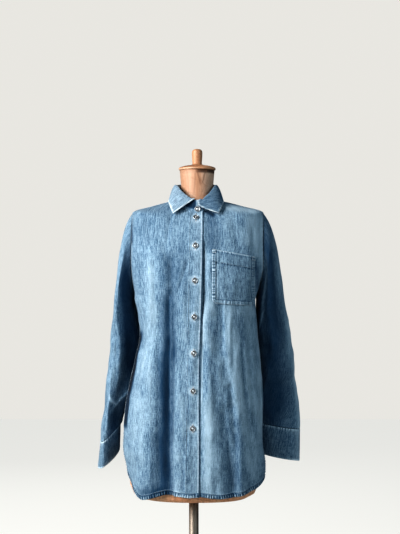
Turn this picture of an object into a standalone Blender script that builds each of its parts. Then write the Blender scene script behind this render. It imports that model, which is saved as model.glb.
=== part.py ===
"""A long-sleeved denim shirt, buttoned up on a limbless dress form that stands on a pole and a round base.

The frame: metres, +Z up, the shirt's front towards -Y, the wearer's left towards +X. The origin is the centre
of the base's underside, on the pole's axis. The cloth is a set of open surfaces given a wall by Solidify: each
panel is a stretch of one body surface, which is a stack of rings, and each sleeve runs from its armhole's edge
down a row of oval sections.
"""

from math import pi, radians

import bpy
import numpy as np
from mathutils import Vector

# Driving sizes of the cloth.
CLOTH = 0.0015  # wall of one layer of denim with its turnings
FACED = 0.0020  # wall where the cloth is doubled and stiffened, as in the collar and cuffs
SEAM_GAP = 0.0008  # between two panels that are sewn edge to edge
ARMHOLE_GAP = 0.0013  # between a panel and a sleeve, whose walls meet at an angle
LAY_GAP = 0.0004  # between a panel and what lies on it

# The body hangs a little to one side of the pole.
BODY_X = 0.0083

# The stand.
POLE_RADIUS = 0.012
BASE_RADIUS = 0.19
BASE_HEIGHT = 0.032
FORM_BOTTOM = 0.637
NECK_TOP = 1.451

# The front opening: the placket's middle line, seen from the front, at the neck and at the hem.
OPENING_TOP_Z, OPENING_TOP_X = 1.345, -0.0025
OPENING_HEM_Z, OPENING_HEM_X = 0.660, -0.0125
PLACKET_HALF = 0.0175
UNDER_HALF = 0.0150  # how far the left front runs on beneath the placket
OVERLAP_RAMP = 0.035

# The armholes, from the armpit's level to the shoulder tip's.
ARMPIT_LEVEL = 1.1575
TIP_LEVEL = 1.345
NECK_LEVEL = 1.453
ARMHOLE_HALF_TURN = 18.0

HEM_TOP_LEVEL = 0.80


def table(names, *rows):
    """A dict of named columns from rows of numbers."""
    return dict(zip(names.split(), np.array(rows, float).T))


RING_COLUMNS = "level side_z front_z back_z right left front back square"

# Rings of the shirt's outer surface. right and left are the wearer's own half-widths, front and back the
# depths from the side seam's plane. square is the superellipse's power: 2 is an ellipse.
SHIRT = table(
    RING_COLUMNS,
    (0.600, 0.600, 0.600, 0.600, 0.167, 0.167, 0.127, 0.121, 2.3),
    (0.680, 0.680, 0.680, 0.680, 0.1725, 0.1715, 0.128, 0.121, 2.3),
    (0.7175, 0.7175, 0.7175, 0.7175, 0.176, 0.175, 0.128, 0.121, 2.3),
    (0.770, 0.770, 0.770, 0.770, 0.1835, 0.1700, 0.128, 0.120, 2.3),
    (0.810, 0.810, 0.810, 0.810, 0.183, 0.165, 0.127, 0.118, 2.3),
    (0.8675, 0.8675, 0.8675, 0.8675, 0.177, 0.1665, 0.126, 0.114, 2.3),
    (0.9175, 0.9175, 0.9175, 0.9175, 0.167, 0.1645, 0.125, 0.110, 2.3),
    (0.9775, 0.9775, 0.9775, 0.9775, 0.154, 0.161, 0.123, 0.105, 2.3),
    (1.0375, 1.0375, 1.0375, 1.0375, 0.141, 0.155, 0.121, 0.101, 2.35),
    (1.090, 1.090, 1.090, 1.090, 0.145, 0.1495, 0.120, 0.101, 2.6),
    (1.1275, 1.1275, 1.130, 1.130, 0.151, 0.1455, 0.121, 0.103, 2.9),
    (1.1575, 1.1575, 1.161, 1.162, 0.157, 0.154, 0.122, 0.105, 2.9),
    (1.2225, 1.2225, 1.224, 1.232, 0.168, 0.168, 0.118, 0.107, 2.7),
    (1.2775, 1.2775, 1.268, 1.286, 0.172, 0.173, 0.108, 0.105, 2.45),
    (1.345, 1.344, 1.308, 1.334, 0.1605, 0.165, 0.091, 0.093, 2.3),
    (1.400, 1.3605, 1.330, 1.367, 0.112, 0.113, 0.075, 0.073, 2.2),
    (1.453, 1.3745, 1.344, 1.387, 0.0615, 0.0605, 0.063, 0.053, 2.05),
)

# Rings of the dress form inside it, up to the top of its neck.
FORM = table(
    RING_COLUMNS,
    (0.637, 0.637, 0.637, 0.637, 0.120, 0.105, 0.078, 0.078, 2.4),
    (0.640, 0.640, 0.640, 0.640, 0.141, 0.126, 0.092, 0.092, 2.4),
    (0.650, 0.650, 0.650, 0.650, 0.158, 0.144, 0.101, 0.101, 2.4),
    (0.672, 0.672, 0.672, 0.672, 0.1670, 0.1535, 0.105, 0.106, 2.35),
    (0.720, 0.720, 0.720, 0.720, 0.1690, 0.1600, 0.106, 0.108, 2.3),
    (0.800, 0.800, 0.800, 0.800, 0.163, 0.158, 0.101, 0.104, 2.2),
    (0.880, 0.880, 0.880, 0.880, 0.148, 0.146, 0.093, 0.094, 2.1),
    (0.960, 0.960, 0.960, 0.960, 0.127, 0.128, 0.084, 0.083, 2.1),
    (1.020, 1.020, 1.020, 1.020, 0.116, 0.117, 0.080, 0.077, 2.1),
    (1.080, 1.080, 1.080, 1.080, 0.121, 0.122, 0.089, 0.080, 2.2),
    (1.130, 1.130, 1.130, 1.130, 0.130, 0.131, 0.103, 0.085, 2.3),
    (1.180, 1.180, 1.180, 1.180, 0.139, 0.139, 0.111, 0.090, 2.4),
    (1.230, 1.230, 1.230, 1.230, 0.147, 0.147, 0.107, 0.092, 2.3),
    (1.280, 1.280, 1.270, 1.283, 0.154, 0.155, 0.095, 0.090, 2.2),
    (1.325, 1.325, 1.292, 1.312, 0.157, 0.160, 0.085, 0.085, 2.2),
    (1.345, 1.3385, 1.302, 1.325, 0.154, 0.157, 0.080, 0.082, 2.2),
    (1.400, 1.3565, 1.324, 1.360, 0.107, 0.108, 0.068, 0.066, 2.1),
    (1.453, 1.3705, 1.340, 1.379, 0.058, 0.058, 0.057, 0.048, 2.0),
    (1.475, 1.384, 1.358, 1.391, 0.0445, 0.0445, 0.046, 0.043, 2.0),
    (1.500, 1.404, 1.390, 1.407, 0.0402, 0.0402, 0.041, 0.040, 2.0),
    (1.550, 1.451, 1.451, 1.451, 0.0433, 0.0433, 0.0433, 0.0433, 2.0),
)

# The body's largest folds. turn_low and turn_high say where a fold's middle is at z_low and z_high, in degrees
# from the centre front towards the wearer's left; wide is its half-width in degrees; rise is outwards.
FOLDS = table(
    "turn_low turn_high z_low z_high wide rise",
    (-32.0, -39.0, 0.64, 1.04, 9.0, -0.0120),
    (-53.0, -52.0, 0.64, 1.12, 9.0, 0.0045),
    (-17.0, -20.0, 0.64, 0.98, 7.0, 0.0050),
    (19.0, 21.0, 0.64, 1.00, 7.5, -0.0060),
    (43.0, 35.0, 0.64, 0.90, 8.0, -0.0060),
    (31.0, 29.0, 0.64, 0.98, 6.0, 0.0040),
    (143.0, 147.0, 0.62, 1.16, 11.0, -0.0060),
    (-141.0, -146.0, 0.62, 1.14, 11.0, -0.0065),
    (172.0, 176.0, 0.62, 1.10, 10.0, -0.0055),
    (118.0, 122.0, 0.62, 1.00, 9.0, -0.0040),
    (-117.0, -121.0, 0.62, 1.02, 9.0, -0.0045),
)
FOLD_FADE = 0.12  # length over which a fold dies away at its top

# The shirt-tail hem's height by the turn from the centre front, or from the centre back for the back's.
HEM = table(
    "turn right left back",
    (0.0, 0.6610, 0.6630, 0.6480),
    (8.0, 0.6600, 0.6605, 0.6480),
    (17.0, 0.6620, 0.6575, 0.6485),
    (26.0, 0.6625, 0.6560, 0.6490),
    (33.0, 0.6632, 0.6560, 0.6495),
    (40.0, 0.6590, 0.6578, 0.6510),
    (47.0, 0.6532, 0.6612, 0.6540),
    (55.0, 0.6485, 0.6662, 0.6560),
    (61.0, 0.6520, 0.6712, 0.6620),
    (66.0, 0.6640, 0.6750, 0.6700),
    (72.0, 0.6830, 0.6815, 0.6820),
    (78.0, 0.7030, 0.6890, 0.7000),
    (82.0, 0.7400, 0.7150, 0.7300),
    (86.0, 0.7600, 0.7430, 0.7550),
    (90.0, 0.7740, 0.7820, 0.7780),
)

# Sections of the sleeves, from below the armpit to the cuff's rim. out is the middle's distance from the
# body's centre, back its place behind the side seams; across and deep are half-axes before the twist, in
# degrees, which turns the front of the section inwards; the drops say how far its front and outer sides hang
# below its middle.
SLEEVE_COLUMNS = "z out back across deep twist front_drop outer_drop"
RIGHT_SLEEVE = table(
    SLEEVE_COLUMNS,
    (1.0900, 0.1800, 0.020, 0.0245, 0.0700, -18.0, 0.000, 0.002),
    (1.0375, 0.1790, 0.032, 0.0340, 0.0655, -23.0, 0.000, 0.000),
    (0.9525, 0.1880, 0.040, 0.0320, 0.0630, -22.0, 0.000, 0.000),
    (0.8925, 0.2040, 0.036, 0.0255, 0.0610, -16.0, 0.004, 0.006),
    (0.8475, 0.2129, 0.036, 0.0228, 0.0580, -14.0, 0.008, 0.011),
    (0.7965, 0.2190, 0.040, 0.0222, 0.0500, -15.0, 0.012, 0.016),
    (0.7615, 0.2215, 0.043, 0.0240, 0.0475, -15.0, 0.012, 0.016),
    (0.7265, 0.2243, 0.046, 0.0257, 0.0460, -15.0, 0.012, 0.016),
)
LEFT_SLEEVE = table(
    SLEEVE_COLUMNS,
    (1.0900, 0.1875, 0.032, 0.0370, 0.0700, 9.0, 0.000, 0.002),
    (1.0375, 0.1945, 0.042, 0.0380, 0.0640, 10.0, 0.000, 0.000),
    (0.9525, 0.2045, 0.054, 0.0345, 0.0600, 28.0, 0.000, 0.000),
    (0.8925, 0.2110, 0.064, 0.0290, 0.0560, 54.0, 0.000, 0.000),
    (0.8475, 0.2115, 0.068, 0.0280, 0.0540, 72.0, 0.000, 0.002),
    (0.8030, 0.2145, 0.066, 0.0260, 0.0490, 86.0, 0.000, 0.004),
    (0.7650, 0.2145, 0.064, 0.0250, 0.0480, 93.0, 0.000, 0.004),
    (0.7270, 0.2140, 0.064, 0.0240, 0.0475, 98.0, 0.000, 0.004),
)
CUFF_SEAM_ROW = 5  # the row of both tables at the seam between a sleeve and its cuff
SECTION_POINT = 1.25  # 1 is an ellipse; more draws the section to an edge at its front and back
SLEEVE_TURNS = 24
CUFF_OVERLAP_TURN = 38.0
# Where each cuff is buttoned, round it from its outer side through the front to the back: right, then left.
CUFF_BUTTON_TURNS = {-1: 285.0, 1: 215.0}

# Creases of the sleeves: turn is round the sleeve as above, wide its half-width in degrees, tall its
# half-height, lean the turn it gains for each metre upwards.
SLEEVE_CREASES = table(
    "side turn z wide tall lean rise",
    (-1, 60.0, 0.885, 40.0, 0.030, 900.0, -0.0060),
    (-1, 130.0, 0.915, 34.0, 0.028, -700.0, -0.0050),
    (1, 95.0, 0.990, 36.0, 0.045, 300.0, -0.0045),
    (1, 60.0, 0.900, 36.0, 0.040, -500.0, -0.0040),
)

# The collar's stand and its fall, by the turn round the neck.
STAND_TOP = table(
    RING_COLUMNS,
    (0.0, 1.4080, 1.3705, 1.4170, 0.0525, 0.0460, 0.0590, 0.0500, 2.0),
)
STAND_START_TURN = 14.0
STAND_END_TURN = 377.0  # it runs past a full round, so its end lies beneath its start
ROLL_HEIGHT = 0.0055
FALL_START_TURN = 6.0
# The collar fall's outer edge: share runs from the wearer's right point round the back to the left point.
FALL_EDGE = table(
    "share x y z",
    (0.00, -0.0585, -0.0800, 1.3390),
    (0.09, -0.0650, -0.0590, 1.3570),
    (0.18, -0.0690, -0.0345, 1.3705),
    (0.30, -0.0675, 0.0120, 1.3755),
    (0.40, -0.0480, 0.0550, 1.3785),
    (0.50, -0.0010, 0.0765, 1.3740),
    (0.60, 0.0455, 0.0550, 1.3785),
    (0.70, 0.0625, 0.0120, 1.3755),
    (0.82, 0.0640, -0.0345, 1.3705),
    (0.91, 0.0605, -0.0590, 1.3570),
    (1.00, 0.0530, -0.0800, 1.3400),
)

# The chest pocket on the wearer's left, seen from the front: its corners, and the cut of its lower corners.
POCKET_INNER_X, POCKET_OUTER_X = 0.036, 0.1395
POCKET_TOP_INNER_Z, POCKET_TOP_OUTER_Z = 1.2530, 1.2350
POCKET_LOW_INNER_Z, POCKET_LOW_OUTER_Z = 1.1230, 1.1165
POCKET_CUT = 0.008

# Buttons down the front: the height of each, from the collar stand's to the lowest.
STAND_BUTTON_Z = 1.3530
BUTTON_Z = (1.3275, 1.2600, 1.1775, 1.0910, 1.0040, 0.9145, 0.8250)
BUTTON_RADIUS = 0.0068

COLOURS = {
    "denim": ((0.20, 0.33, 0.47, 1), 0.9, 0.0),
    "nickel": ((0.55, 0.56, 0.57, 1), 0.3, 1.0),
    "linen": ((0.62, 0.42, 0.27, 1), 0.75, 0.0),
    "beech": ((0.62, 0.33, 0.19, 1), 0.45, 0.0),
    "steel": ((0.24, 0.20, 0.17, 1), 0.35, 0.8),
    "iron": ((0.08, 0.075, 0.07, 1), 0.5, 0.6),
}


def material(name):
    """One Principled BSDF for each finish, made the first time it is asked for."""
    made = bpy.data.materials.get(name)
    if made is None:
        colour, roughness, metallic = COLOURS[name]
        made = bpy.data.materials.new(name)
        made.use_nodes = True
        shader = made.node_tree.nodes["Principled BSDF"]
        shader.inputs["Base Color"].default_value = colour
        shader.inputs["Roughness"].default_value = roughness
        shader.inputs["Metallic"].default_value = metallic
    return made


def smooth_step(value):
    """0 below 0, 1 above 1, and smooth between."""
    held = np.clip(value, 0, 1)
    return held * held * (3 - 2 * held)


def through(x, knots, values):
    """A cubic through the knots, with slopes that keep each rise and fall as it is."""
    steps = np.diff(knots)
    slopes = np.diff(values) / steps
    product = slopes[1:] * slopes[:-1]
    total = np.where(product > 0, slopes[1:] + slopes[:-1], 1)
    inner = np.where(product > 0, 2 * product / total, 0)
    at_knots = np.concatenate([slopes[:1], inner, slopes[-1:]])
    i = np.clip(np.searchsorted(knots, x) - 1, 0, len(steps) - 1)
    t = (x - knots[i]) / steps[i]
    back = 1 - t
    ends = values[i] * back**2 * (1 + 2 * t) + values[i + 1] * t**2 * (3 - 2 * t)
    return ends + steps[i] * (at_knots[i] * t * back**2 - at_knots[i + 1] * t**2 * back)


def read(rings, x, by):
    """Every column of a table at x, as a dict."""
    return {name: through(x, rings[by], column) for name, column in rings.items()}


def ring_points(rings, turn, level):
    """Points on a stack of superellipse rings: turn in degrees from the front towards the wearer's left."""
    turn, level = np.broadcast_arrays(np.asarray(turn, float), np.asarray(level, float))
    if len(rings["level"]) > 1:
        row = read(rings, level, "level")
    else:
        row = {name: column[0] for name, column in rings.items()}
    across, ahead = np.sin(np.radians(turn)), np.cos(np.radians(turn))
    wide = np.where(across > 0, row["left"], row["right"])
    deep = np.where(ahead > 0, row["front"], row["back"])
    power = row["square"]
    reach = (np.abs(across / wide) ** power + np.abs(ahead / deep) ** power) ** (-1 / power)
    end_z = np.where(ahead > 0, row["front_z"], row["back_z"])
    z = row["side_z"] + (end_z - row["side_z"]) * ahead**2
    return np.stack([BODY_X + across * reach, -ahead * reach, z], -1)


def ring_normals(rings, turn, level):
    """Outward unit normals of ring_points, from the slopes along the two directions."""
    turn_step, level_step = 0.5, 0.001
    along = ring_points(rings, turn + turn_step, level) - ring_points(rings, turn - turn_step, level)
    up = ring_points(rings, turn, level + level_step) - ring_points(rings, turn, level - level_step)
    normals = np.cross(along, up)
    return normals / np.linalg.norm(normals, axis=-1, keepdims=True)


def fold_rise(turn, z):
    """How far the folds move the cloth out: each is a rounded bump across, fading out at its top."""
    total = np.zeros(np.broadcast(turn, z).shape)
    for low, high, z_low, z_high, wide, rise in zip(*FOLDS.values()):
        share = (z - z_low) / (z_high - z_low)
        middle = low + (high - low) * share
        away = ((turn - middle + 180) % 360 - 180) / wide
        total += rise * np.exp(-(away**2)) * smooth_step((z_high - z) / FOLD_FADE)
    return total


def opening_x(z):
    """The placket's middle line, which hangs a little out of true."""
    share = (z - OPENING_HEM_Z) / (OPENING_TOP_Z - OPENING_HEM_Z)
    return OPENING_HEM_X + (OPENING_TOP_X - OPENING_HEM_X) * share


def overlap_rise(points):
    """How far the right front lies above the left one beneath it, near the opening."""
    inside = points[..., 0] - BODY_X - opening_x(points[..., 2]) + UNDER_HALF + 0.004 + OVERLAP_RAMP
    return (CLOTH + 2 * LAY_GAP) * smooth_step(inside / OVERLAP_RAMP)


def cloth_points(turn, level, out=0.0, right_front=False):
    """The shirt's outer surface with its folds, moved out by a distance."""
    points = ring_points(SHIRT, turn, level)
    moved = fold_rise(turn, points[..., 2]) + out
    if right_front:
        moved = moved + overlap_rise(points)
    return points + ring_normals(SHIRT, turn, level) * moved[..., None]


def hem_z(turn, side):
    """The shirt-tail hem's height on one panel, whose column of the hem's table is side."""
    return through(np.minimum(np.abs(turn), 90), HEM["turn"], HEM[side])


def front_turn(x, level):
    """The turn at which the front surface lies at x from the body's centre."""
    return np.degrees(np.arctan2(x, through(level, SHIRT["level"], SHIRT["front"])))


def on_front(x, z):
    """(turn, level) of the front's points at x from the body's centre and at height z, by Newton's method."""
    turn, level = front_turn(x, z), np.array(z, float)
    turn_step, level_step = 0.05, 0.0005
    for _ in range(12):
        here = ring_points(SHIRT, turn, level)[..., ::2]
        by_turn = (ring_points(SHIRT, turn + turn_step, level)[..., ::2] - here) / turn_step
        by_level = (ring_points(SHIRT, turn, level + level_step)[..., ::2] - here) / level_step
        miss = np.stack([x + BODY_X, z], -1) - here
        area = by_turn[..., 0] * by_level[..., 1] - by_turn[..., 1] * by_level[..., 0]
        turn = turn + (miss[..., 0] * by_level[..., 1] - miss[..., 1] * by_level[..., 0]) / area
        level = level + (miss[..., 1] * by_turn[..., 0] - miss[..., 0] * by_turn[..., 1]) / area
    return turn, level


def grid_object(name, points, finish, wall=None, round_it=False, flip=False):
    """A sheet through a grid of points, with a wall added on the side that its normals face away from."""
    rows, columns = points.shape[:2]
    across = columns if round_it else columns - 1
    faces = []
    for i in range(rows - 1):
        for j in range(across):
            k = (j + 1) % columns
            face = (i * columns + j, i * columns + k, (i + 1) * columns + k, (i + 1) * columns + j)
            faces.append(face[::-1] if flip else face)
    mesh = bpy.data.meshes.new(name)
    mesh.from_pydata(points.reshape(-1, 3).tolist(), [], faces)
    mesh.shade_smooth()
    mesh.materials.append(material(finish))
    made = bpy.data.objects.new(name, mesh)
    parts.objects.link(made)
    if wall:
        solid = made.modifiers.new("wall", "SOLIDIFY")
        solid.thickness = wall
        solid.offset = -1
    return made


HEM_ROWS, TORSO_ROWS, ARMHOLE_ROWS, SHOULDER_ROWS = 6, 12, 12, 4


def panel_levels():
    """The levels of a panel's rows above the hem, and how far through the armhole each lies: 0 outside it."""
    torso = HEM_TOP_LEVEL + (ARMPIT_LEVEL - HEM_TOP_LEVEL) * np.linspace(0, 1, TORSO_ROWS)[:-1] ** 0.85
    round_turn = np.linspace(pi, 0, ARMHOLE_ROWS + 1)
    armhole = ARMPIT_LEVEL + (TIP_LEVEL - ARMPIT_LEVEL) * (1 + np.cos(round_turn)) / 2
    shoulder = np.linspace(TIP_LEVEL, NECK_LEVEL, SHOULDER_ROWS + 1)[1:]
    opened = np.concatenate([torso * 0, np.sin(round_turn), shoulder * 0])
    return np.concatenate([torso, armhole, shoulder]), np.abs(opened)


def side_turn(level, opened):
    """Where a panel ends on its side: the side seam, the armhole's edge or the shoulder seam."""
    reach = ring_points(SHIRT, 90.0, level)[..., 0] - BODY_X
    return 90 - ARMHOLE_HALF_TURN * opened - np.degrees(SEAM_GAP / 2 / reach)


def panel_grid(edge_turns, side):
    """Turns and levels of a panel, whose lowest rows fan to the hem.

    edge_turns(level, opened) gives a row's two ends."""
    levels, opened = panel_levels()
    turns = np.stack([edge_turns(level, share) for level, share in zip(levels, opened)])
    grid_levels = np.broadcast_to(levels[:, None], turns.shape)
    share = np.linspace(0, 1, HEM_ROWS)[:-1, None]
    from_middle = turns[0] - 180 if side == "back" else turns[0]
    hem = hem_z(from_middle, side)[None]
    fan_levels = hem + (HEM_TOP_LEVEL - hem) * share
    fan_turns = np.broadcast_to(turns[0], fan_levels.shape)
    return np.concatenate([fan_turns, turns]), np.concatenate([fan_levels, grid_levels])


PLACKET_SHARES = np.linspace(1, -1, 4)
FRONT_COLUMNS = 13
BACK_COLUMNS = 18


def opening_turns(level, offsets):
    """Turns at distances from the placket's middle line, on one row."""
    z = ring_points(SHIRT, 0.0, level)[..., 2]
    return front_turn(opening_x(z) + offsets, level)


def right_front_turns(level, opened):
    """The right front's columns: four across the placket, then evenly round to the side."""
    placket = opening_turns(level, PLACKET_SHARES * PLACKET_HALF)
    rest = np.linspace(placket[-1], -side_turn(level, opened), FRONT_COLUMNS + 1)[1:]
    return np.concatenate([placket, rest])


def left_front_turns(level, opened):
    """The left front's columns, from its edge beneath the placket round to the side."""
    edge = opening_turns(level, np.array([-UNDER_HALF, 0.0, UNDER_HALF]))
    rest = np.linspace(edge[-1], side_turn(level, opened), FRONT_COLUMNS + 1)[1:]
    return np.concatenate([edge, rest])


def back_turns(level, opened):
    """The back's columns, from the wearer's left side round behind to the right."""
    side = side_turn(level, opened)
    return np.linspace(180 - side, 180 + side, BACK_COLUMNS + 1)


def add_panels():
    """Both fronts, the placket on the right one, and the back in one piece."""
    turns, levels = panel_grid(right_front_turns, "right")
    grid_object("front_right", cloth_points(turns, levels, right_front=True), "denim", CLOTH, flip=True)
    strip = len(PLACKET_SHARES)
    lifted = cloth_points(turns[:, :strip], levels[:, :strip], CLOTH + LAY_GAP, right_front=True)
    grid_object("placket", lifted, "denim", CLOTH, flip=True)
    turns, levels = panel_grid(left_front_turns, "left")
    grid_object("front_left", cloth_points(turns, levels), "denim", CLOTH)
    turns, levels = panel_grid(back_turns, "back")
    wrapped = np.where(turns > 180, turns - 360, turns)
    grid_object("back", cloth_points(wrapped, levels), "denim", CLOTH)


def section_points(sleeve, side, turn, z):
    """Points round one sleeve at height z: turn 0 is its outer side, 90 its front, 180 its inner side."""
    row = read({**sleeve, "minus_z": -sleeve["z"]}, -z, "minus_z")
    c, s = np.cos(np.radians(turn)), np.sin(np.radians(turn))
    across = row["across"] * np.sign(c) * np.abs(c) ** SECTION_POINT
    deep = -row["deep"] * s
    twist = np.radians(row["twist"])
    out = across * np.cos(twist) + deep * np.sin(twist)
    back = deep * np.cos(twist) - across * np.sin(twist)
    drop = row["front_drop"] * -back / row["deep"] + row["outer_drop"] * out / row["across"]
    x = BODY_X + side * (row["out"] + out)
    return np.stack(np.broadcast_arrays(x, row["back"] + back, z - drop), -1)


def armhole_points(side, turn):
    """The armhole's edge: a round path in turn and level, turn 0 at the shoulder tip and 90 at the front."""
    c, s = np.cos(np.radians(turn)), np.sin(np.radians(turn))
    level = ARMPIT_LEVEL + (TIP_LEVEL - ARMPIT_LEVEL) * (1 + c) / 2
    return cloth_points(side * (90 - ARMHOLE_HALF_TURN * s), level)


CAP_ROWS, ARM_ROWS = 6, 10


def cap_points(sleeve, side, turn, share):
    """The sleeve head: a Bezier curve at each turn, from the armhole's edge to the first full section."""
    start = armhole_points(side, turn)
    end = section_points(sleeve, side, turn, sleeve["z"][0])
    below = section_points(sleeve, side, turn, sleeve["z"][0] - 0.01)
    span = np.linalg.norm(end - start, axis=-1, keepdims=True)
    top = (1 + np.cos(np.radians(turn))) / 2
    ahead = np.sin(np.radians(turn))
    leave = np.stack([side * (0.80 - 0.18 * top), -0.25 * ahead, -0.55 - 0.23 * top], -1)
    leave = leave / np.linalg.norm(leave, axis=-1, keepdims=True)
    arrive = (below - end) / np.linalg.norm(below - end, axis=-1, keepdims=True)
    reach = span * (0.19 + 0.06 * top)[..., None]
    first = start + leave * reach
    last = end - arrive * 0.38 * span
    begin = start + leave * ARMHOLE_GAP
    t = np.asarray(share)[..., None]
    u = 1 - t
    return begin * u**3 + first * 3 * u**2 * t + last * 3 * u * t**2 + end * t**3


def crease_rise(side, turn, z):
    """How far the sleeve's creases move it out."""
    total = np.zeros(np.broadcast(turn, z).shape)
    for on, middle, level, wide, tall, lean, rise in zip(*SLEEVE_CREASES.values()):
        if on == side:
            across = ((turn - middle - lean * (z - level) + 180) % 360 - 180) / wide
            total += rise * np.exp(-(across**2) - ((z - level) / tall) ** 2)
    return total


def add_sleeve(name, sleeve, side):
    """A sleeve: its head, then its length down to the cuff."""
    turn = np.arange(SLEEVE_TURNS) * 360 / SLEEVE_TURNS
    share = np.linspace(0, 1, CAP_ROWS + 1)[:-1]
    head = cap_points(sleeve, side, turn[None], share[:, None])
    z = np.linspace(sleeve["z"][0], sleeve["z"][CUFF_SEAM_ROW] + SEAM_GAP, ARM_ROWS + 1)
    arm = section_points(sleeve, side, turn[None], z[:, None])
    middle = arm.mean(1, keepdims=True)
    outward = arm - middle
    outward = outward / np.linalg.norm(outward, axis=-1, keepdims=True)
    arm = arm + outward * crease_rise(side, turn[None], z[:, None])[..., None]
    grid_object(name, np.concatenate([head, arm]), "denim", CLOTH, round_it=True, flip=side < 0)


CUFF_ROWS = 3
CUFF_TURNS = 26


def cuff_points(sleeve, side, turn, share):
    """A cuff's outer surface. Its turn runs past a full round, and the last of it lies beneath the first."""
    top_z = sleeve["z"][CUFF_SEAM_ROW] - SEAM_GAP / 2
    z = top_z + (sleeve["z"][-1] - top_z) * share
    points = section_points(sleeve, side, turn, z)
    middle = section_points(sleeve, side, turn, z) + section_points(sleeve, side, turn + 180, z)
    outward = points - middle / 2
    outward = outward / np.linalg.norm(outward, axis=-1, keepdims=True)
    past = (turn - CUFF_BUTTON_TURNS[side] - 360 + CUFF_OVERLAP_TURN + 24) / 24
    beneath = (FACED + LAY_GAP) * smooth_step(past)
    return points - outward * beneath[..., None]


def add_cuff(name, sleeve, side):
    """A cuff: one stiff band round the wrist, its ends lapped and buttoned at the back."""
    start = CUFF_BUTTON_TURNS[side] - CUFF_OVERLAP_TURN / 2
    turn = np.linspace(start, start + 360 + CUFF_OVERLAP_TURN, CUFF_TURNS + 1)
    share = np.linspace(0, 1, CUFF_ROWS + 1)
    points = cuff_points(sleeve, side, turn[None], share[:, None])
    grid_object(name, points, "denim", FACED, flip=side < 0)


STAND_COLUMNS, STAND_ROWS = 40, 2


def stand_lift(turn):
    """The collar stand's front end lies over its other end: how far out, by the turn from where it starts."""
    return (FACED + LAY_GAP) * smooth_step((STAND_START_TURN + 45 - turn) / 22)


def stand_points(turn, share):
    """The collar stand's outer surface from the neckline, at share 0, to its top.

    turn goes round by the wearer's right."""
    foot = ring_points(SHIRT, -turn, NECK_LEVEL)
    from_front = np.abs((turn + 180) % 360 - 180)
    foot[..., 2] += SEAM_GAP + 0.0006 + 0.0046 * smooth_step((44 - from_front) / 20)
    top = ring_points(STAND_TOP, -turn, 0.0)
    share = np.asarray(share)[..., None]
    out = top - np.stack([BODY_X + 0 * turn, 0 * turn, top[..., 2]], -1)
    out = out / np.linalg.norm(out, axis=-1, keepdims=True)
    return foot * (1 - share) + top * share + out * stand_lift(turn)[..., None]


FALL_COLUMNS, FALL_ROWS = 44, 6


def fall_points(share, down):
    """The collar's fall: from the stand's top up over the roll line, then out and down to its edge."""
    turn = FALL_START_TURN + (360 - 2 * FALL_START_TURN) * share
    top = stand_points(turn, 1.0 + 0 * turn)
    edge = np.stack([through(share, FALL_EDGE["share"], FALL_EDGE[axis]) for axis in "xyz"], -1)
    edge[..., 0] += BODY_X
    flat_out = edge - top
    flat_out[..., 2] = 0
    flat_out = flat_out / np.linalg.norm(flat_out, axis=-1, keepdims=True)
    up = np.array([0, 0, 1.0])
    begin = top + up * 0.0008
    first = begin + up * ROLL_HEIGHT * 1.7
    second = begin + flat_out * 0.009 + up * ROLL_HEIGHT
    t = np.asarray(down)[..., None]
    u = 1 - t
    return begin * u**3 + first * 3 * u**2 * t + second * 3 * u * t**2 + edge * t**3


def add_collar():
    """The stand round the neck, and the fall that turns down over it."""
    turn = np.linspace(-STAND_START_TURN, STAND_END_TURN, STAND_COLUMNS + 1)
    share = np.linspace(0, 1, STAND_ROWS + 1)
    grid_object("collar_stand", stand_points(turn[None], share[:, None]), "denim", FACED, flip=True)
    along = np.linspace(0, 1, FALL_COLUMNS + 1)
    down = np.linspace(0, 1, FALL_ROWS + 1)
    grid_object("collar_fall", fall_points(along[None], down[:, None]), "denim", FACED, flip=True)


def add_pocket():
    """A patch pocket lying on the left chest, its lower corners cut off."""
    across = np.linspace(0, 1, 13)
    down = np.linspace(0, 1, 9)[:, None]
    x = POCKET_INNER_X + (POCKET_OUTER_X - POCKET_INNER_X) * across
    top = POCKET_TOP_INNER_Z + (POCKET_TOP_OUTER_Z - POCKET_TOP_INNER_Z) * across
    low = POCKET_LOW_INNER_Z + (POCKET_LOW_OUTER_Z - POCKET_LOW_INNER_Z) * across
    low = low + POCKET_CUT * np.clip(1 - np.minimum(across, 1 - across) * 12, 0, 1)
    z = top + (low - top) * down
    turn, level = on_front(x + 0 * z, z)
    points = cloth_points(turn, level, CLOTH + 2 * LAY_GAP)
    grid_object("pocket", points, "denim", CLOTH)


def button_mesh():
    """A turned button: a raised rim round a sunk middle, and a flat back."""
    rim = BUTTON_RADIUS * 1000
    profile = ((0, 1.5), (4.4, 1.5), (5.2, 2.6), (6.3, 2.4), (rim, 1.3), (6.1, 0), (0, 0))
    mesh = bpy.data.meshes.new("button")
    corners = [(r / 1000, 0, z / 1000) for r, z in profile]
    mesh.from_pydata(corners, [(i, i + 1) for i in range(len(corners) - 1)], [])
    mesh.materials.append(material("nickel"))
    return mesh


def add_button(name, mesh, place, facing):
    """One button, its back at place and its face along facing."""
    made = bpy.data.objects.new(name, mesh)
    parts.objects.link(made)
    turned(made, 10)
    made.location = place
    made.rotation_mode = "QUATERNION"
    made.rotation_quaternion = Vector(facing).to_track_quat("Z", "Y")


def turned(made, steps):
    """A Screw modifier that turns a profile about its object's Z axis."""
    screw = made.modifiers.new("turned", "SCREW")
    screw.steps = screw.render_steps = steps
    screw.use_merge_vertices = True
    screw.merge_threshold = 0.00001
    screw.use_smooth_shade = True


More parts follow.
